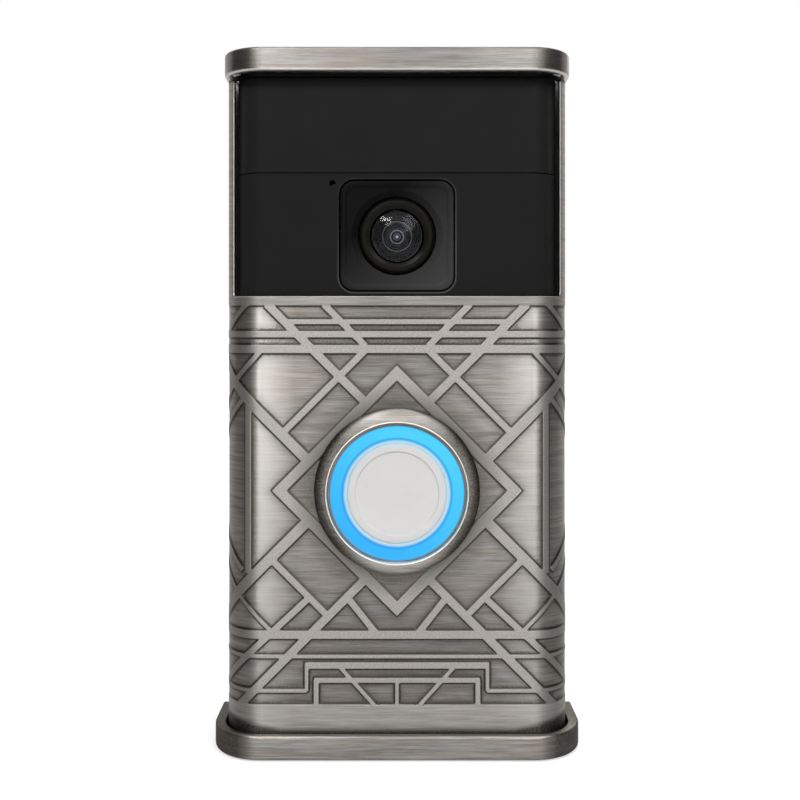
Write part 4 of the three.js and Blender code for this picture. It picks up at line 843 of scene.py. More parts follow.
def glass_material(name, colour, bend, roughness=0.02):
    """Coated glass with a faint tint and fine dust."""
    n = Nodes(name)
    dust = n.noise(2600.0, 2.0, 0.5)
    n.set(Base_Color=n.blend(n.spread(dust, 0.62, 0.8, 0.0, 0.06), colour, grey(0.6)))
    n.set(Roughness=n.spread(dust, 0.3, 0.8, roughness, roughness * 1.3), IOR=bend)
    return n.set(Transmission_Weight=1.0)


def ring_mask(n, radius, middle, half):
    """1 on a thin ring at that radius, fading to 0 at half a width to either side."""
    away = n.size(n.minus(radius, middle))
    return n.spread(away, 0.0, half, 1.0, 0.0)


def barrel_material(name):
    """Black lens barrel with a coated ring round the front element, its mauve a painted reflection."""
    n = Nodes(name)
    radius = radius_from(n, CAMERA_CENTRE)
    turned = n.noise(1500.0, 2.0)
    black = n.blend(turned, grey(0.005), grey(0.009))
    # Painted reflection on the lip round the front element
    n.set(Base_Color=n.blend(ring_mask(n, radius, BARREL_LIP, LIP_LINE), black, LIP_REFLECTION))
    return n.set(Roughness=n.vary(turned, 0.3, 0.4), Specular_IOR_Level=0.3)


def element_material(name):
    """Deep coated glass: painted reflections of mauve rings round a dark pupil, with a painted glint in it.
    """
    n = Nodes(name)
    radius = radius_from(n, CAMERA_CENTRE)
    bloom = n.noise(700.0, 2.0)
    colour = n.blend(bloom, *ELEMENT_TONES)
    # Painted reflections: the coatings' mauve rings and the pupil's rings
    for share, strength in COATING_SHARES:
        mask = n.times(ring_mask(n, radius, ELEMENT_RADIUS * share, COATING_LINE), strength)
        colour = n.blend(mask, colour, COATING_REFLECTION)
    colour = n.blend(ring_mask(n, radius, PUPIL_RADIUS, PUPIL_LINE), colour, PUPIL_REFLECTION)
    colour = n.blend(ring_mask(n, radius, PUPIL_RADIUS / 2, INNER_LINE), colour, INNER_RING_REFLECTION)
    # Painted highlight: a glint at the middle of the element
    colour = n.blend(n.spread(radius, PUPIL_LINE, PAINTED_GLINT_RADIUS, 1.0, 0.0), colour, PAINTED_GLINT_COLOUR)
    return n.set(Base_Color=colour, Roughness=n.vary(bloom, 0.16, 0.24), Specular_IOR_Level=0.1)


def bezel_material(name):
    """Satin black, with painted shade at the upper left of its dish and painted light towards the lower
    right.
    """
    n = Nodes(name)
    skin = n.noise(1800.0, 3.0, 0.6)
    x, _, z = n.axes()
    # Painted light and shade across the dish
    slope = n.minus(x, n.minus(z, CAMERA_CENTRE[1]))
    shade = n.plus(n.spread(slope, -BEZEL_DISH_RADIUS, BEZEL_DISH_RADIUS * 2),
                   n.vary(skin, -0.04, 0.04), clamp=True)
    n.set(Base_Color=n.blend(shade, grey(0.003), grey(0.042)), Specular_IOR_Level=0.06)
    n.set(Roughness=n.vary(skin, 0.4, 0.46))
    return n.set(Normal=n.bump(skin, 0.2, 0.003 * MM))


def light_material(name):
    """The lit ring in milky blue with a painted shadow line in it, and the unlit mauve flange outside it."""
    n = Nodes(name)
    radius = radius_from(n, BUTTON_CENTRE)
    x, _, z = n.axes()
    slope = n.plus(n.times(x, 0.6), n.minus(z, BUTTON_CENTRE[1]))
    slope = n.spread(slope, -RING_OUTER, RING_OUTER)
    cloud = n.noise(260.0, 2.0)
    height = n.plus(slope, n.vary(cloud, -0.06, 0.06))
    lit = n.blend(height, BLUE_LOW, BLUE_HIGH)
    # Painted shadow: a deeper blue line inside the lit ring
    lit = n.blend(n.times(ring_mask(n, radius, RING_SHADOW_LINE, SHADOW_LINE_HALF), 0.85), lit, BLUE_SHADOW_LINE)
    pale = n.spread(radius, RING_BORE + PALE_START, RING_SHADOW_LINE - PALE_END, 1.0, 0.0)
    lit = n.blend(pale, lit, BLUE_PALE)
    lit = n.blend(n.spread(radius, RING_OUTER - RIM_WIDTH, RING_OUTER, 0.0, 0.5), lit, BLUE_RIM)
    unlit = n.math("GREATER_THAN", radius, RING_OUTER)
    lit = n.blend(unlit, lit, (0.0, 0.0, 0.0, 1))
    dull = n.blend(cloud, *BLUE_UNDER)
    mauve = n.blend(cloud, *MAUVES)
    n.set(Base_Color=n.blend(unlit, dull, mauve), Roughness=0.35)
    return n.set(Emission_Color=lit, Specular_IOR_Level=0.15, Emission_Strength=GLOW_STRENGTH)


def button_material(name):
    """White satin plastic, with the ring's blue light painted onto its rim."""
    n = Nodes(name)
    radius = radius_from(n, BUTTON_CENTRE)
    skin = n.noise(2200.0, 3.0, 0.6)
    wear = n.noise(180.0, 4.0)
    white = n.blend(n.spread(wear, 0.35, 0.7), grey(0.68, 0.01), grey(0.65, 0.01))
    # Painted light: the ring's blue spill is painted onto the cap's rim
    blue_spill = n.spread(radius, CAP_RADIUS - BLUE_SPILL_WIDTH, CAP_RADIUS)
    blue_spill = n.times(n.times(blue_spill, blue_spill), 0.8)
    n.set(Base_Color=n.blend(blue_spill, white, BLUE_SPILL_PAINTED))
    n.set(Roughness=n.vary(skin, 0.4, 0.52), Specular_IOR_Level=0.3)
    return n.set(Normal=n.bump(skin, 0.2, 0.006 * MM))


NICKEL = nickel_material("nickel_relief", 0.12, 0.25, "relief")
NICKEL_LIGHT = nickel_material("nickel_hood", 0.165, 0.3, "hood")
NICKEL_DARK = nickel_material("nickel_tray", 0.17, 0.33, "tray")
NICKEL_BOSS = nickel_material("nickel_boss", 0.22, 0.4, "boss", 0.42)
BLACK = plastic_material("black_plastic", grey(0.0125), 0.5, 0.05)
BODY = plastic_material("body_plastic", grey(0.0125), 0.5, 0.05, pocket=True)
GLOSS = plastic_material("gloss_black", grey(0.0125), 0.4, 0.06, 700.0, 0.002 * MM)
SATIN = bezel_material("satin_black")
OLIVE = plastic_material("lens_ring_black", (0.006, 0.0055, 0.0038, 1), 0.32, 0.1, 1400.0, 0.002 * MM)
WHITE = plastic_material("white_plastic", grey(0.62), 0.45)
ORANGE = plastic_material("orange_plastic", (0.8, 0.2, 0.03, 1), 0.42)
WRAP = plastic_material("battery_wrap", (0.05, 0.12, 0.35, 1), 0.3)
RUBBER = plastic_material("rubber", grey(0.025), 0.8, 0.3, 1500.0, 0.02 * MM)
STEEL = steel_material("steel")
BOARD = board_material("circuit_board")
LENS_GLASS = glass_material("clear_glass", (0.68, 0.72, 0.71, 1), 1.22, 0.06)
BARREL = barrel_material("barrel_black")
ELEMENT = element_material("coated_element")
BLUE = light_material("blue_light")
BUTTON = button_material("button_white")

SLOT_MATERIALS = {
    "brushed_nickel": NICKEL_LIGHT,
    "black_plastic": BLACK,
    "gloss_black": GLOSS,
    "clear_glass": LENS_GLASS,
    "white_plastic": WHITE,
    "blue_light": BLUE,
    "circuit_board": BOARD,
    "steel": STEEL,
    "rubber": RUBBER,
    "orange_plastic": ORANGE,
    "battery_wrap": WRAP,
}
NODE_SLOTS = {s["node"]: s["material_slot"] for s in frame["record"]["subparts"]}
for node_name, node in frame["nodes"].items():
    node.data.materials.clear()
    node.data.materials.append(SLOT_MATERIALS[NODE_SLOTS[node_name]])


# The cover with its lattice

def segments():
    """Every rib as a start, an end and a width, in metres on the flat drawing."""
    made = []
    for start, end, width in RIB_SHARES:
        for side in (-1, 1):
            ends = [(side * u * DIAMOND_REACH, DIAMOND_HEIGHT + z * DIAMOND_REACH)
                    for u, z in (start, end)]
            made.append((*ends, width))
    for height, half, width in LEVEL_SHARES:
        z = DIAMOND_HEIGHT + height * DIAMOND_REACH
        made.append(((-half * DIAMOND_REACH, z), (half * DIAMOND_REACH, z), width))
    return made


def outside_ribs(u, z):
    """Distance from each point to the nearest rib or flush band, below zero inside one."""
    nearest = np.minimum(FIELD_TOP - z, z - FIELD_BOTTOM)
    for (u0, z0), (u1, z1), width in segments():
        length = math.hypot(u1 - u0, z1 - z0)
        du, dz = (u1 - u0) / length, (z1 - z0) / length
        along = (u - u0) * du + (z - z0) * dz
        across = np.abs((z - z0) * du - (u - u0) * dz) - width / 2
        beyond = np.maximum(-along, along - length)
        outside = np.hypot(np.maximum(across, 0), np.maximum(beyond, 0))
        nearest = np.minimum(nearest, outside + np.minimum(np.maximum(across, beyond), 0))
    return nearest


BAND_LINES = [
    ((-COVER_REACH, FIELD_TOP), (COVER_REACH, FIELD_TOP), 0.0),
    ((-COVER_REACH, FIELD_BOTTOM), (COVER_REACH, FIELD_BOTTOM), 0.0),
]


def rib_height(distance):
    """1 on a rib and 0 in a panel, with a soft slope between them."""
    share = np.clip(1 - distance / RIB_SLOPE, 0, 1)
    return share * share * (3 - 2 * share)


def bent(u, z, depth):
    """The point on the formed cover under a point of the flat drawing, that far behind its outside."""
    side = np.sign(u)
    flat_u = np.abs(u)
    angle = np.clip((flat_u - COVER_FLAT) / COVER_RADIUS, 0, QUARTER)
    reach = COVER_RADIUS - depth
    straight = np.maximum(flat_u - COVER_FLAT - COVER_ARC, 0)
    x = np.where(flat_u <= COVER_FLAT, flat_u, COVER_FLAT + reach * np.sin(angle))
    y = COVER_FRONT + COVER_RADIUS - reach * np.cos(angle) + straight
    return np.stack([side * x, y, z], axis=-1)


def window_reach(depth):
    """Where the window's upright edge lies on the flat drawing, at that depth in the wall."""
    share = (WINDOW_HALF - COVER_FLAT) / (COVER_RADIUS - depth)
    return COVER_FLAT + COVER_RADIUS * math.asin(share)


def steps_between(low, high, step):
    return np.linspace(low, high, max(2, int(round((high - low) / step)) + 1))


def four_sides(across, upright):
    """A closed loop round a rectangle, from the places along its width and its height."""
    loop = [(u, upright[0]) for u in across[:-1]]
    loop += [(across[-1], z) for z in upright[:-1]]
    loop += [(u, upright[-1]) for u in across[:0:-1]]
    return loop + [(across[0], z) for z in upright[:0:-1]]


def cover_loops(inset, depth):
    """The cover's outer edge, its window and its button hole as closed loops of (u, z)."""
    right = COVER_REACH - inset
    bottom, top = COVER_LOW.z + inset, COVER_HIGH.z - inset
    side_z = steps_between(COVER_LOW.z, COVER_HIGH.z, RIM_STEP)
    side_z = bottom + (side_z - COVER_LOW.z) * (top - bottom) / (COVER_HIGH.z - COVER_LOW.z)
    wide = steps_between(-COVER_REACH, COVER_REACH, BEND_STEP) * (right / COVER_REACH)
    outer = four_sides(wide, side_z)
    half = window_reach(depth) + inset
    low, high = WINDOW_BOTTOM - inset, COVER_HIGH.z - TOP_RAIL + inset
    window = four_sides(np.linspace(-half, half, WINDOW_STEPS[0]), np.linspace(low, high, WINDOW_STEPS[1]))
    radius = (BOSS_OUTER + BOSS_INNER) / 2 + inset
    hole = [(radius * c, DIAMOND_HEIGHT + radius * s) for c, s in arc(ROUND_STEPS, 2 * math.pi)[:-1]]
    return [outer, window, hole]


def clear_of_loops(u, z, loops, margin):
    """Which points lie on the cover and keep that distance from its edges."""
    outer, window, hole = [np.array(loop) for loop in loops]
    on = (np.abs(u) < outer[:, 0].max() - margin)
    on &= (z > outer[:, 1].min() + margin) & (z < outer[:, 1].max() - margin)
    in_window = (np.abs(u) < window[:, 0].max() + margin) & (z > window[:, 1].min() - margin)
    on &= ~(in_window & (z < window[:, 1].max() + margin))
    return on & (np.hypot(u, z - DIAMOND_HEIGHT) > hole[:, 0].max() + margin)


def grid_points(loops, step, near_ribs):
    """Points over the cover, closer together across its bends."""
    flat_u = steps_between(-COVER_FLAT, COVER_FLAT, step)
    bend_u = steps_between(COVER_FLAT, COVER_FLAT + COVER_ARC, BEND_STEP)[1:]
    side_u = steps_between(COVER_FLAT + COVER_ARC, COVER_REACH, step)[1:]
    u = np.concatenate([-side_u, -bend_u, flat_u, bend_u, side_u])
    u, z = np.meshgrid(u, steps_between(COVER_LOW.z, COVER_HIGH.z, step))
    u, z = u.ravel(), z.ravel()
    on = clear_of_loops(u, z, loops, CLEAR)
    if not near_ribs:
        distance = outside_ribs(u, z)
        on &= (distance < RIB_OFFSETS[0] * 2) | (distance > RIB_OFFSETS[-1] * 1.3)
    return np.stack([u[on], z[on]], axis=-1)


def rib_lines(loops):
    """Lines along both edges of every rib, as points and the pairs of them that a face edge joins."""
    points, pairs = [], []
    for (u0, z0), (u1, z1), width in segments() + BAND_LINES:
        start, end = np.array((u0, z0)), np.array((u1, z1))
        length = math.hypot(*(end - start))
        along = (end - start) / length
        across = np.array((-along[1], along[0]))
        for offset in RIB_OFFSETS:
            half = width / 2 + offset
            if half < CLEAR / 3:
                continue
            corners = [start - along * offset - across * half, end + along * offset - across * half,
                       end + along * offset + across * half, start - along * offset + across * half]
            for k, corner in enumerate(corners):
                place_line(corner, corners[(k + 1) % 4], points, pairs)
    points = np.array(points)
    on = clear_of_loops(points[:, 0], points[:, 1], loops, CLEAR)
    number = np.cumsum(on) - 1
    kept = [(number[a], number[b]) for a, b in pairs if on[a] and on[b]]
    return points[on], kept


def place_line(start, end, points, pairs):
    """Adds a line in short steps, shorter where the cover bends."""
    bends = max(abs(start[0]), abs(end[0])) > COVER_FLAT - BEND_STEP
    count = max(1, math.ceil(math.hypot(*(end - start)) / (BEND_STEP if bends else LINE_STEP)))
    first = len(points)
    points += [start + (end - start) * k / count for k in range(count + 1)]
    pairs += [(first + k, first + k + 1) for k in range(count)]


def skin(loops, points, pairs=()):
    """Triangles over the cover's flat drawing, between its loops and along the pairs of points."""
    places = [tuple(p) for loop in loops for p in loop] + [tuple(p) for p in points]
    edges = []
    start = 0
    for loop in loops:
        edges += [(start + k, start + (k + 1) % len(loop)) for k in range(len(loop))]
        start += len(loop)
    edges += [(start + int(a), start + int(b)) for a, b in pairs]
    made = delaunay_2d_cdt([Vector(p) / MM for p in places], edges, [], 0, MERGE / MM)
    flat = np.array([(v.x, v.y) for v in made[0]]) * MM
    triangles = np.array(made[2])
    middle = flat[triangles].mean(axis=1)
    window = np.array(loops[1])
    hole = np.array(loops[2])
    inside = (np.abs(middle[:, 0]) < window[:, 0].max()) & (middle[:, 1] > window[:, 1].min())
    inside &= middle[:, 1] < window[:, 1].max()
    inside |= np.hypot(middle[:, 0], middle[:, 1] - DIAMOND_HEIGHT) < hole[:, 0].max() * 0.9999
    return flat, triangles[~inside], start


def front_points(flat):
    """Where the relief's points lie on the formed cover, and how far each is from a rib's edge."""
    distance = outside_ribs(flat[:, 0], flat[:, 1])
    round_bend = np.clip((np.abs(flat[:, 0]) - COVER_FLAT) / COVER_ARC, 0, 1)
    depth = RELIEF_DEPTH * (1 - rib_height(distance)) * (1 - (1 - RELIEF_SIDE_SHARE) * round_bend)
    return bent(flat[:, 0], flat[:, 1], depth), depth, distance


def front_normals(flat):
    """The relief's normals, from points a small step to either side."""
    across = [front_points(flat + np.array([(step, 0)]))[0] for step in (-NORMAL_STEP, NORMAL_STEP)]
    up = [front_points(flat + np.array([(0, step)]))[0] for step in (-NORMAL_STEP, NORMAL_STEP)]
    normals = np.cross(across[1] - across[0], up[1] - up[0])
    return normals / np.linalg.norm(normals, axis=1)[:, None]


def cover_shell():
    loops = cover_loops(COVER_EDGE, 0)
    lines, pairs = rib_lines(loops)
    grid = grid_points(loops, PANEL_STEP, False)
    flat, front_faces, rim = skin(loops, np.concatenate([lines, grid]), pairs)
    front, depth, distance = front_points(flat)
    vertices = [front]
    faces = front_faces.tolist()

    # The chamfer, the cut edge and the inside follow, joined ring to ring round each loop
    chamfer = np.minimum(depth[:rim] + COVER_EDGE, COVER_WALL - 2 * COVER_EDGE)
    offset = len(flat)
    previous = 0
    for level, window_depth in ((chamfer, 0), (COVER_WALL - COVER_EDGE, COVER_WALL)):
        places = np.concatenate([np.array(loop) for loop in cover_loops(0.0, window_depth)])
        vertices.append(bent(places[:, 0], places[:, 1], level))
        faces += ring_faces(loops, previous, offset)
        previous = offset
        offset += rim
    loops = cover_loops(COVER_EDGE, COVER_WALL)
    inner, back_faces, _ = skin(loops, grid_points(loops, BACK_STEP, True))
    vertices.append(bent(inner[:, 0], inner[:, 1], COVER_WALL))
    faces += ring_faces(loops, previous, offset)
    faces += (back_faces[:, ::-1] + offset).tolist()

    points = np.concatenate(vertices)
    piece = mesh_piece("cover_shell_formed", (points, faces), NICKEL, "cover_shell")
    normals = np.zeros((len(points), 3))
    normals[:len(flat)] = front_normals(flat)
    piece.data.normals_split_custom_set_from_vertices(normals.tolist())
    reach = np.full(len(points), -1.0, np.float32)
    reach[:len(flat)] = distance / MM
    piece.data.attributes.new("reach", "FLOAT", "POINT").data.foreach_set("value", reach)
    inside = np.full(len(points), RIM_PLACE, np.float32)
    inside[:len(flat)] = 0.0
    inside[offset:] = 1.0
    piece.data.attributes.new("inside", "FLOAT", "POINT").data.foreach_set("value", inside)


def ring_faces(loops, first, second):
    """Quads between two copies of the same loops that start at those vertex numbers."""
    faces = []
    start = 0
    for loop in loops:
        for k in range(len(loop)):
            n = start + (k + 1) % len(loop)
            faces.append([second + start + k, second + n, first + n, first + start + k])
        start += len(loop)
    return faces


def button_boss():
    """A raised ring: a fine bead at its inner lip, and a crown that falls away outwards."""
    front, half = COVER_LOW.y, BOSS_BEAD / 2
    start = BOSS_INNER + BOSS_BEAD
    profile = [(BOSS_INNER, COVER_BACK), (BOSS_INNER, front + BOSS_BEAD)]
    for c, s in arc(BEAD_STEPS, math.pi):
        profile.append((BOSS_INNER + half * (1 - c), front + half * (1 - s)))
    for c, s in arc(CROWN_STEPS)[1:]:
        profile.append((start + (BOSS_OUTER - start) * s, front + half + BOSS_CROWN * (1 - c)))
    profile.append((BOSS_OUTER, COVER_BACK))
    rows = []
    for radius, y in profile:
        share = (radius - BOSS_INNER) / (BOSS_OUTER - BOSS_INNER)
        height = BOSS_INNER_HEIGHT + (DIAMOND_HEIGHT - BOSS_INNER_HEIGHT) * share
        rows.append(circle(radius, y, (0, height)))
    mesh_piece("button_boss", loft(rows, True), NICKEL_BOSS)


# The hood and the tray

def level_rows(outline, heights):
    return [[(x, y, z) for x, y in outline] for z in heights]


def closure(name, box, radius, node_name, material, pocket, heights):
    """A rounded block with soft edges above and below, less the pocket between two heights."""
    low, high = box
    edge = CLOSURE_EDGE
    levels = [(edge * (1 - s), low.z + edge * (1 - c)) for c, s in arc(EDGE_STEPS)]
    levels.append((0, low.z + edge * 1.4))
    levels += [(inset, low.z + high.z - z) for inset, z in levels[::-1]]
    rows = []
    for inset, z in levels:
        outline = plan_outline(high.x - inset, low.y + inset, high.y - inset, radius - inset)
        rows += level_rows(outline, [z])
    piece = mesh_piece(name, stacked(rows), material, node_name)
    cut(piece, stacked(level_rows(pocket, heights)))


def closures():
    pocket = plan_outline(HOOD_POCKET_SIDE, HOOD_POCKET_FRONT, HOOD_HIGH.y + MM, CLOSURE_EDGE, 3)
    closure("hood_formed", (HOOD_LOW, HOOD_HIGH), HOOD_RADIUS, "hood_cap", NICKEL_LIGHT,
            pocket, (HOOD_LOW.z - MM, HOOD_HIGH.z - HOOD_TOP))
    pocket = plan_outline(TRAY_POCKET_SIDE, TRAY_POCKET_FRONT, TRAY_HIGH.y + MM, TRAY_POCKET_RADIUS)
    closure("tray_formed", (TRAY_LOW, TRAY_HIGH), TRAY_RADIUS, "base_tray", NICKEL_DARK,
            pocket, (TRAY_LOW.z + TRAY_FLOOR, TRAY_HIGH.z + MM))


# The black body

def smoothed(node_name, material, lower=0.0, edge=0.0):
    """A node's shape again with soft shading, its lowest edge brought down and its edges rounded."""
    node = frame["nodes"][node_name]
    work = bmesh.new()
    work.from_mesh(node.data)
    bmesh.ops.transform(work, matrix=node.matrix_world, verts=work.verts)
    bmesh.ops.remove_doubles(work, verts=work.verts, dist=MERGE / 10)
    bmesh.ops.dissolve_limit(work, angle_limit=FLAT, verts=work.verts, edges=work.edges)
    low = min(v.co.z for v in work.verts)
    for vertex in work.verts:
        if vertex.co.z < low + MERGE:
            vertex.co.z -= lower
    if edge:
        turned = [e for e in work.edges if e.is_manifold and e.calc_face_angle() > SHARP]
        bmesh.ops.bevel(work, geom=turned, offset=edge, segments=2, profile=0.5, affect="EDGES",
                        clamp_overlap=True)
    mesh = bpy.data.meshes.new(node_name + "_smooth")
    work.to_mesh(mesh)
    work.free()
    mesh.materials.append(material)
    soften(mesh)
    piece = placed(node_name + "_smooth", mesh)
    weight = piece.modifiers.new("normals", "WEIGHTED_NORMAL")
    weight.keep_sharp = True
    keep_result(piece, weight)
    dress(piece, node_name)


def housing_seal():
    """The rubber cord in the rear half's groove, whose crown closes the gap to the front half."""
    low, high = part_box("housing_seal")
    half = SEAL_WIDTH / 2
    crown = [(half * (1 - c), low.y - SEAL_CROWN * s) for c, s in arc(SEAL_STEPS, math.pi)]
    profile = [(0, high.y)] + crown + [(SEAL_WIDTH, high.y)]
    rows = []
    for inset, y in profile:
        side, top = high.x - inset, high.z - inset
        corners = [(-side, -top), (side, -top), (side, top), (-side, top)]
        outline = fillet(corners, [SEAL_CORNER - inset] * len(corners), closed=True)
        rows.append([(x, y, z) for x, z in outline])
    mesh_piece("housing_seal_crowned", loft(rows, True), RUBBER, "housing_seal")


# The screws and the setup button in the rear face

def screw(node_name, head_radius, head, shank):
    """A threaded screw along Y: its pan head looks to the rear and has a cross recess."""
    low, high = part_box(node_name)
    centre = middle_of(low, high)
    seat = high.y - head
    profile = [(0, low.y), (shank - THREAD_DEPTH, low.y)]
    for k in range(int((seat - low.y) / THREAD_PITCH)):
        profile.append((shank, low.y + (k + 0.5) * THREAD_PITCH))
        profile.append((shank - THREAD_DEPTH, low.y + (k + 1) * THREAD_PITCH))
    dome = [((head_radius, seat), 0), ((head_radius, high.y), head * HEAD_ROUND), ((0, high.y), 0)]
    profile += [(shank, seat)] + rounded(dome, 5)
    shape = lathe(profile, centre, steps=SCREW_STEPS)
    piece = mesh_piece(node_name + "_turned", shape, STEEL, node_name)
    arm, web = head_radius * RECESS_ARM, head_radius * RECESS_WEB
    plus = [(arm, -web), (arm, web), (web, web), (web, arm), (-web, arm), (-web, web),
            (-arm, web), (-arm, -web), (-web, -web), (-web, -arm), (web, -arm), (web, -web)]
    rows = []
    for y, share in ((high.y + MM, 1.0), (high.y - head * HEAD_ROUND, RECESS_TAPER)):
        rows.append([(centre[0] + x * share, y, centre[1] + z * share) for x, z in plus])
    cut(piece, stacked(rows))


def setup_button():
    """The orange button: a dished face and a soft edge, on the same stem and brim as the node."""
    low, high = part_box("setup_button")
    brim = (high.x - low.x) / 2
    stem = SETUP_RADIUS / 2
    brim_front = SETUP_BRIM_REAR - SETUP_BRIM
    corners = [
        ((0, high.y - SETUP_DISH), 0),
        ((SETUP_RADIUS * 0.7, high.y - SETUP_DISH * 0.8), 3 * MM),
        ((SETUP_RADIUS - SETUP_DISH, high.y), 0.2 * MM),
        ((SETUP_RADIUS, high.y), 0.25 * MM),
        ((SETUP_RADIUS, SETUP_BRIM_REAR), 0),
        ((brim, SETUP_BRIM_REAR), 0),
        ((brim, brim_front), 0),
        ((stem, brim_front), 0),
        ((stem, low.y), 0),
        ((0, low.y), 0),
    ]
    shape = lathe(rounded(corners, 4), middle_of(low, high), steps=SCREW_STEPS)
    mesh_piece("setup_button_turned", shape, ORANGE, "setup_button", "setup")


# The button and its light

def button_cap():
    front, rear = CAP_LOW.y, CAP_HIGH.y
    skirt, face = rear - CAP_LIP, front + CAP_FACE
    inside = CAP_RADIUS - CAP_SKIRT
    corners = [
        ((0, front + CAP_DISH), 0),
        ((CAP_STEP_RADIUS * 0.6, front + CAP_DISH * 0.95), 6 * MM),
        ((CAP_STEP_RADIUS - CAP_STEP, front + CAP_DISH * 0.8), 0.04 * MM),
        ((CAP_STEP_RADIUS, front), 0.05 * MM),
        ((CAP_RADIUS, front), CAP_ROUND),
        ((CAP_RADIUS, skirt), 0),
        ((inside, skirt), 0),
        ((inside, face), 0),
        ((CAP_STEM, face), 0),
        ((CAP_STEM, rear), 0),
        ((0, rear), 0),
    ]
    shape = lathe(rounded(corners, 5), BUTTON_CENTRE)
    mesh_piece("button_cap_turned", shape, BUTTON, "button_cap", "button")


def light_ring():
    """The lit ring, with an unlit flange that fills the boss round it."""
    front, rear = RING_LOW.y, RING_HIGH.y
    flange = front + FLANGE_DROP
    lit = [((RING_BORE, rear), 0), ((RING_BORE, front), 0.15 * MM), ((RING_OUTER, front + RING_SLOPE), 0)]
    rows = [circle(radius, y, BUTTON_CENTRE) for radius, y in rounded(lit, 6) + [(RING_OUTER, flange)]]
    rows += [circle(FLANGE_RADIUS, y, (0, BOSS_INNER_HEIGHT)) for y in (flange, FLANGE_REAR)]
    rows += [circle(RING_OUTER, y, BUTTON_CENTRE) for y in (FLANGE_REAR, rear)]
    mesh_piece("light_ring_turned", loft(rows, True), BLUE, "light_ring")


# The camera

def camera_bezel():
    """A rounded square with a raised rim, a cove inside it and a round dish down to the lens ring."""
    front, rear = BEZEL_LOW.y, BEZEL_HIGH.y
    squares = [(0, rear)] + [(BEZEL_EDGE * (1 - c), front + BEZEL_EDGE * (1 - s)) for c, s in arc(4)]
    for k in range(COVE_STEPS + 1):
        share = k / COVE_STEPS
        fall = BEZEL_SINK * share * share * (3 - 2 * share)
        squares.append((BEZEL_RIM + BEZEL_COVE * share, front + fall))
    rows = []
    for inset, y in squares:
        corner = max(BEZEL_RADIUS - inset * 0.5, BEZEL_EDGE)
        sides = (BEZEL_HALF_WIDTH - inset, BEZEL_HALF_HEIGHT - inset)
        rows.append(rounded_square(*sides, corner, y, CAMERA_CENTRE))
    floor_y, dish_y = front + BEZEL_SINK, front + BEZEL_DISH_DEPTH
    for radius, y in (
        (BEZEL_DISH_RADIUS, floor_y),
        (BEZEL_DISH_RADIUS - BEZEL_DISH_STEP, floor_y + BEZEL_DISH_STEP),
        (LENS_BORE + BEZEL_DISH_STEP, dish_y),
        (LENS_BORE, dish_y + BEZEL_DISH_STEP),
        (LENS_BORE, rear),
    ):
        rows.append(circle(radius, y, CAMERA_CENTRE))
    mesh_piece("camera_bezel_formed", loft(rows, True), SATIN, "camera_bezel")


def lens_ring():
    low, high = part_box("lens_ring")
    radius, front, rear = (high.x - low.x) / 2, low.y, high.y
    corners = [
        ((radius, rear), 0),
        ((radius, front + LENS_RING_SLOPE), 0.1 * MM),
        ((LENS_RING_CREST, front), 0.3 * MM),
        ((LENS_RING_BORE + BEZEL_RIM, front), 0.3 * MM),
        ((LENS_RING_BORE, front + LENS_RING_SLOPE * 0.5), 0.1 * MM),
        ((LENS_RING_BORE, rear), 0),
    ]
    mesh_piece("lens_ring_turned", lathe(rounded(corners, 6), CAMERA_CENTRE, True), OLIVE, "lens_ring")


def lens_dome():
    """A clear shell whose outside and inside are parts of spheres."""
    low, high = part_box("lens_cover")
    radius = (high.x - low.x) / 2
    inside = radius - DOME_WALL
    profile = crowned(radius, DOME_RISE, low.y, DOME_STEPS) + [(radius, high.y), (inside, high.y)]
    profile += crowned(inside, DOME_RISE, low.y + DOME_WALL, DOME_STEPS)[::-1]
    mesh_piece("lens_dome", lathe(profile, CAMERA_CENTRE), LENS_GLASS, "lens_cover")


def lens_barrel():
    """The barrel with fine grooves round its flange and a lip round the front element."""
    low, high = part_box("lens_barrel")
    front, rear, outer = low.y, high.y, (high.x - low.x) / 2
    flange = front + BARREL_FLANGE_DEPTH
    profile = [(BARREL_RADIUS, rear), (BARREL_RADIUS, flange), (outer, flange), (outer, front)]
    pitch = (outer - BARREL_LIP - BARREL_GROOVE) / BARREL_GROOVES
    for k in range(BARREL_GROOVES):
        start = outer - pitch * (k + 0.5)
        profile += [(start, front), (start - BARREL_GROOVE, front + BARREL_GROOVE)]
        profile += [(start - 2 * BARREL_GROOVE, front)]
    profile += [(BARREL_LIP, front), (BARREL_BORE, front + BARREL_GROOVE), (BARREL_BORE, rear)]
    mesh_piece("lens_barrel_turned", lathe(profile, CAMERA_CENTRE, True), BARREL, "lens_barrel")


def front_element():
    rear = ELEMENT_HIGH.y
    profile = crowned(ELEMENT_RADIUS, ELEMENT_CROWN, ELEMENT_LOW.y, DOME_STEPS)
    profile += [(ELEMENT_RADIUS, rear), (0, rear)]
    mesh_piece("front_element_coated", lathe(profile, CAMERA_CENTRE), ELEMENT, "front_lens_element")


cover_shell()
button_boss()
closures()
smoothed("sensor_window", GLOSS, SEAM_CLOSE, SEAM_EDGE)
smoothed("front_housing", BODY, edge=SEAM_EDGE)
smoothed("rear_housing", BLACK)
smoothed("usb_port", STEEL)
housing_seal()
for names, head_radius, head, shank in SCREWS:
    for node_name in names:
        screw(node_name, head_radius, head, shank)
setup_button()
button_cap()
light_ring()
camera_bezel()
lens_ring()
lens_dome()
lens_barrel()
front_element()


# The photograph's view, the floor and the light

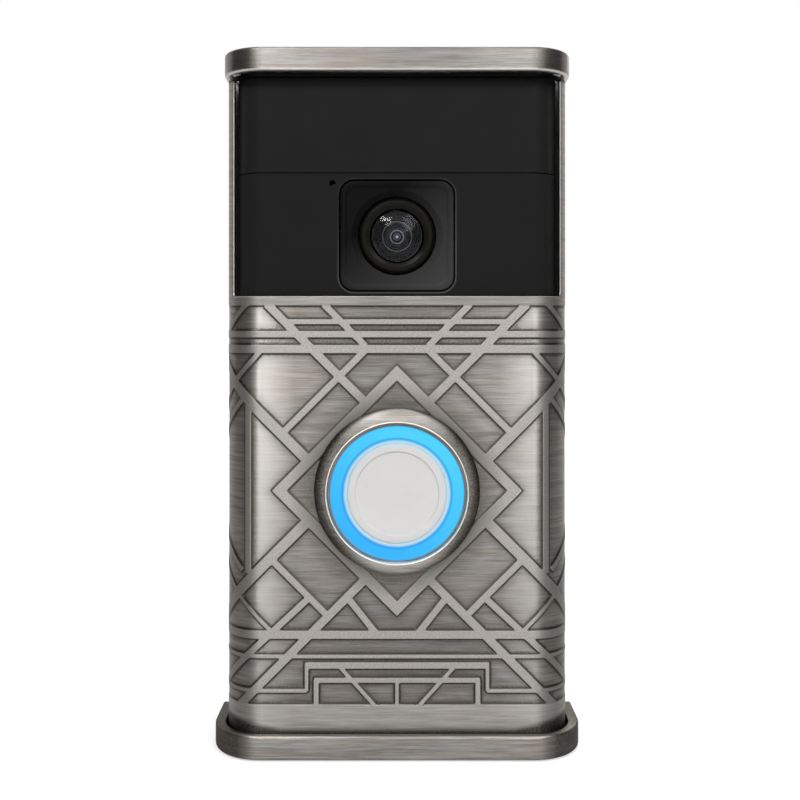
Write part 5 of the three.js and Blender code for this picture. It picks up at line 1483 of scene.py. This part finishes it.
def camera():
    data = bpy.data.cameras.new("photo_camera")
    data.sensor_width = SENSOR
    data.lens = SENSOR * FOCAL_PIXELS / FRAME_PIXELS
    data.shift_x = (FRAME_PIXELS / 2 - MIDDLE_PIXEL) / FRAME_PIXELS
    data.shift_y = (HORIZON_PIXEL - FRAME_PIXELS / 2) / FRAME_PIXELS
    data.clip_start, data.clip_end = CLIP
    item = placed("photo_camera", data)
    item.location = EYE
    item.rotation_euler = (QUARTER, 0, 0)
    bpy.context.scene.camera = item


def aim(item, place, target, axis):
    item.location = place
    item.rotation_euler = (Vector(target) - Vector(place)).to_track_quat(axis, "Y").to_euler()


def lamp(name, place, target, width, height, power):
    data = bpy.data.lights.new(name, "AREA")
    data.shape = "RECTANGLE"
    data.size, data.size_y = width, height
    data.energy = power
    item = placed(name, data)
    aim(item, place, target, "-Z")
    item.visible_camera = False
    return item


def rectangle(name, half_width, half_height, z=0.0):
    mesh = bpy.data.meshes.new(name)
    corners = [(x * half_width, y * half_height, z) for x, y in ((-1, -1), (1, -1), (1, 1), (-1, 1))]
    mesh.from_pydata(corners, [], [(0, 1, 2, 3)])
    return mesh


def card(name, x):
    """A grey studio card that only the metal and the gloss see."""
    mesh = rectangle(name, CARD_WIDTH / 2, CARD_HEIGHT / 2)
    item = placed(name, mesh)
    aim(item, (x, CARD_PLACE, 0), (0, 0, 0), "Z")
    n = Nodes(name)
    shade = n.blend(n.noise(40.0, 2.0), grey(CARD_VALUE), grey(CARD_VALUE * 1.05))
    n.set(Base_Color=grey(0.0), Emission_Color=shade, Emission_Strength=1.0, Specular_IOR_Level=0.0)
    mesh.materials.append(n.material)
    item.visible_camera = False
    item.visible_diffuse = False
    item.visible_shadow = False


def world():
    """White to the camera, in reflections and through glass, and dimmer as a light."""
    made = bpy.data.worlds.new("studio")
    bpy.context.scene.world = made
    made.use_nodes = True
    nodes, link = made.node_tree.nodes, made.node_tree.links.new
    background = nodes["Background"]
    rays = nodes.new("ShaderNodeLightPath").outputs
    seen = rays["Is Camera Ray"]
    for ray in ("Is Glossy Ray", "Is Transmission Ray"):
        either = nodes.new("ShaderNodeMath")
        either.operation = "MAXIMUM"
        link(seen, either.inputs[0])
        link(rays[ray], either.inputs[1])
        seen = either.outputs[0]
    strength = nodes.new("ShaderNodeMapRange")
    link(seen, strength.inputs["Value"])
    strength.inputs["To Min"].default_value = WORLD_FILL
    strength.inputs["To Max"].default_value = 1.0
    link(strength.outputs["Result"], background.inputs["Strength"])
    background.inputs["Color"].default_value = (1, 1, 1, 1)


def floor():
    """A pale floor. Near the doorbell the shadow shows, and further off it is as white as the world."""
    mesh = rectangle("floor", FLOOR_SIZE, FLOOR_SIZE, TRAY_LOW.z - FLOOR_GAP)
    item = placed("floor", mesh)
    n = Nodes("floor")
    n.set(Base_Color=n.blend(n.noise(6.0, 2.0), grey(0.8), grey(0.78)), Roughness=0.9)
    path = n.add("ShaderNodeLightPath")
    away = n.add("ShaderNodeVectorMath", {0: n.place}, operation="LENGTH")
    amount = n.spread(away.outputs["Value"], FLOOR_NEAR, FLOOR_FAR, 0.5, 0.95)
    lift = n.add("ShaderNodeEmission", {"Strength": n.times(path.outputs["Is Camera Ray"], amount)})
    both = n.add("ShaderNodeAddShader", {0: n.shader.outputs["BSDF"], 1: lift.outputs["Emission"]})
    n.link(both.outputs["Shader"], n.tree.nodes["Material Output"].inputs["Surface"])
    mesh.materials.append(n.material)


camera()
world()
floor()
for name, place, width, height, power in LAMPS:
    lamp(name, place, (0, 0, 0), width, height, power)
for name, x in (("strip_left", -STRIP_SIDE), ("strip_right", STRIP_SIDE)):
    strip = lamp(name, (x, -STRIP_PLACE, STRIP_HEIGHT), (0, COVER_FRONT, STRIP_HEIGHT),
                 STRIP_WIDTH, STRIP_LENGTH, STRIP_POWER)
    strip.light_linking.receiver_collection = METAL
card("card_left", -CARD_SIDE)
card("card_right", CARD_SIDE)

bpy.context.scene.view_settings.view_transform = "Standard"
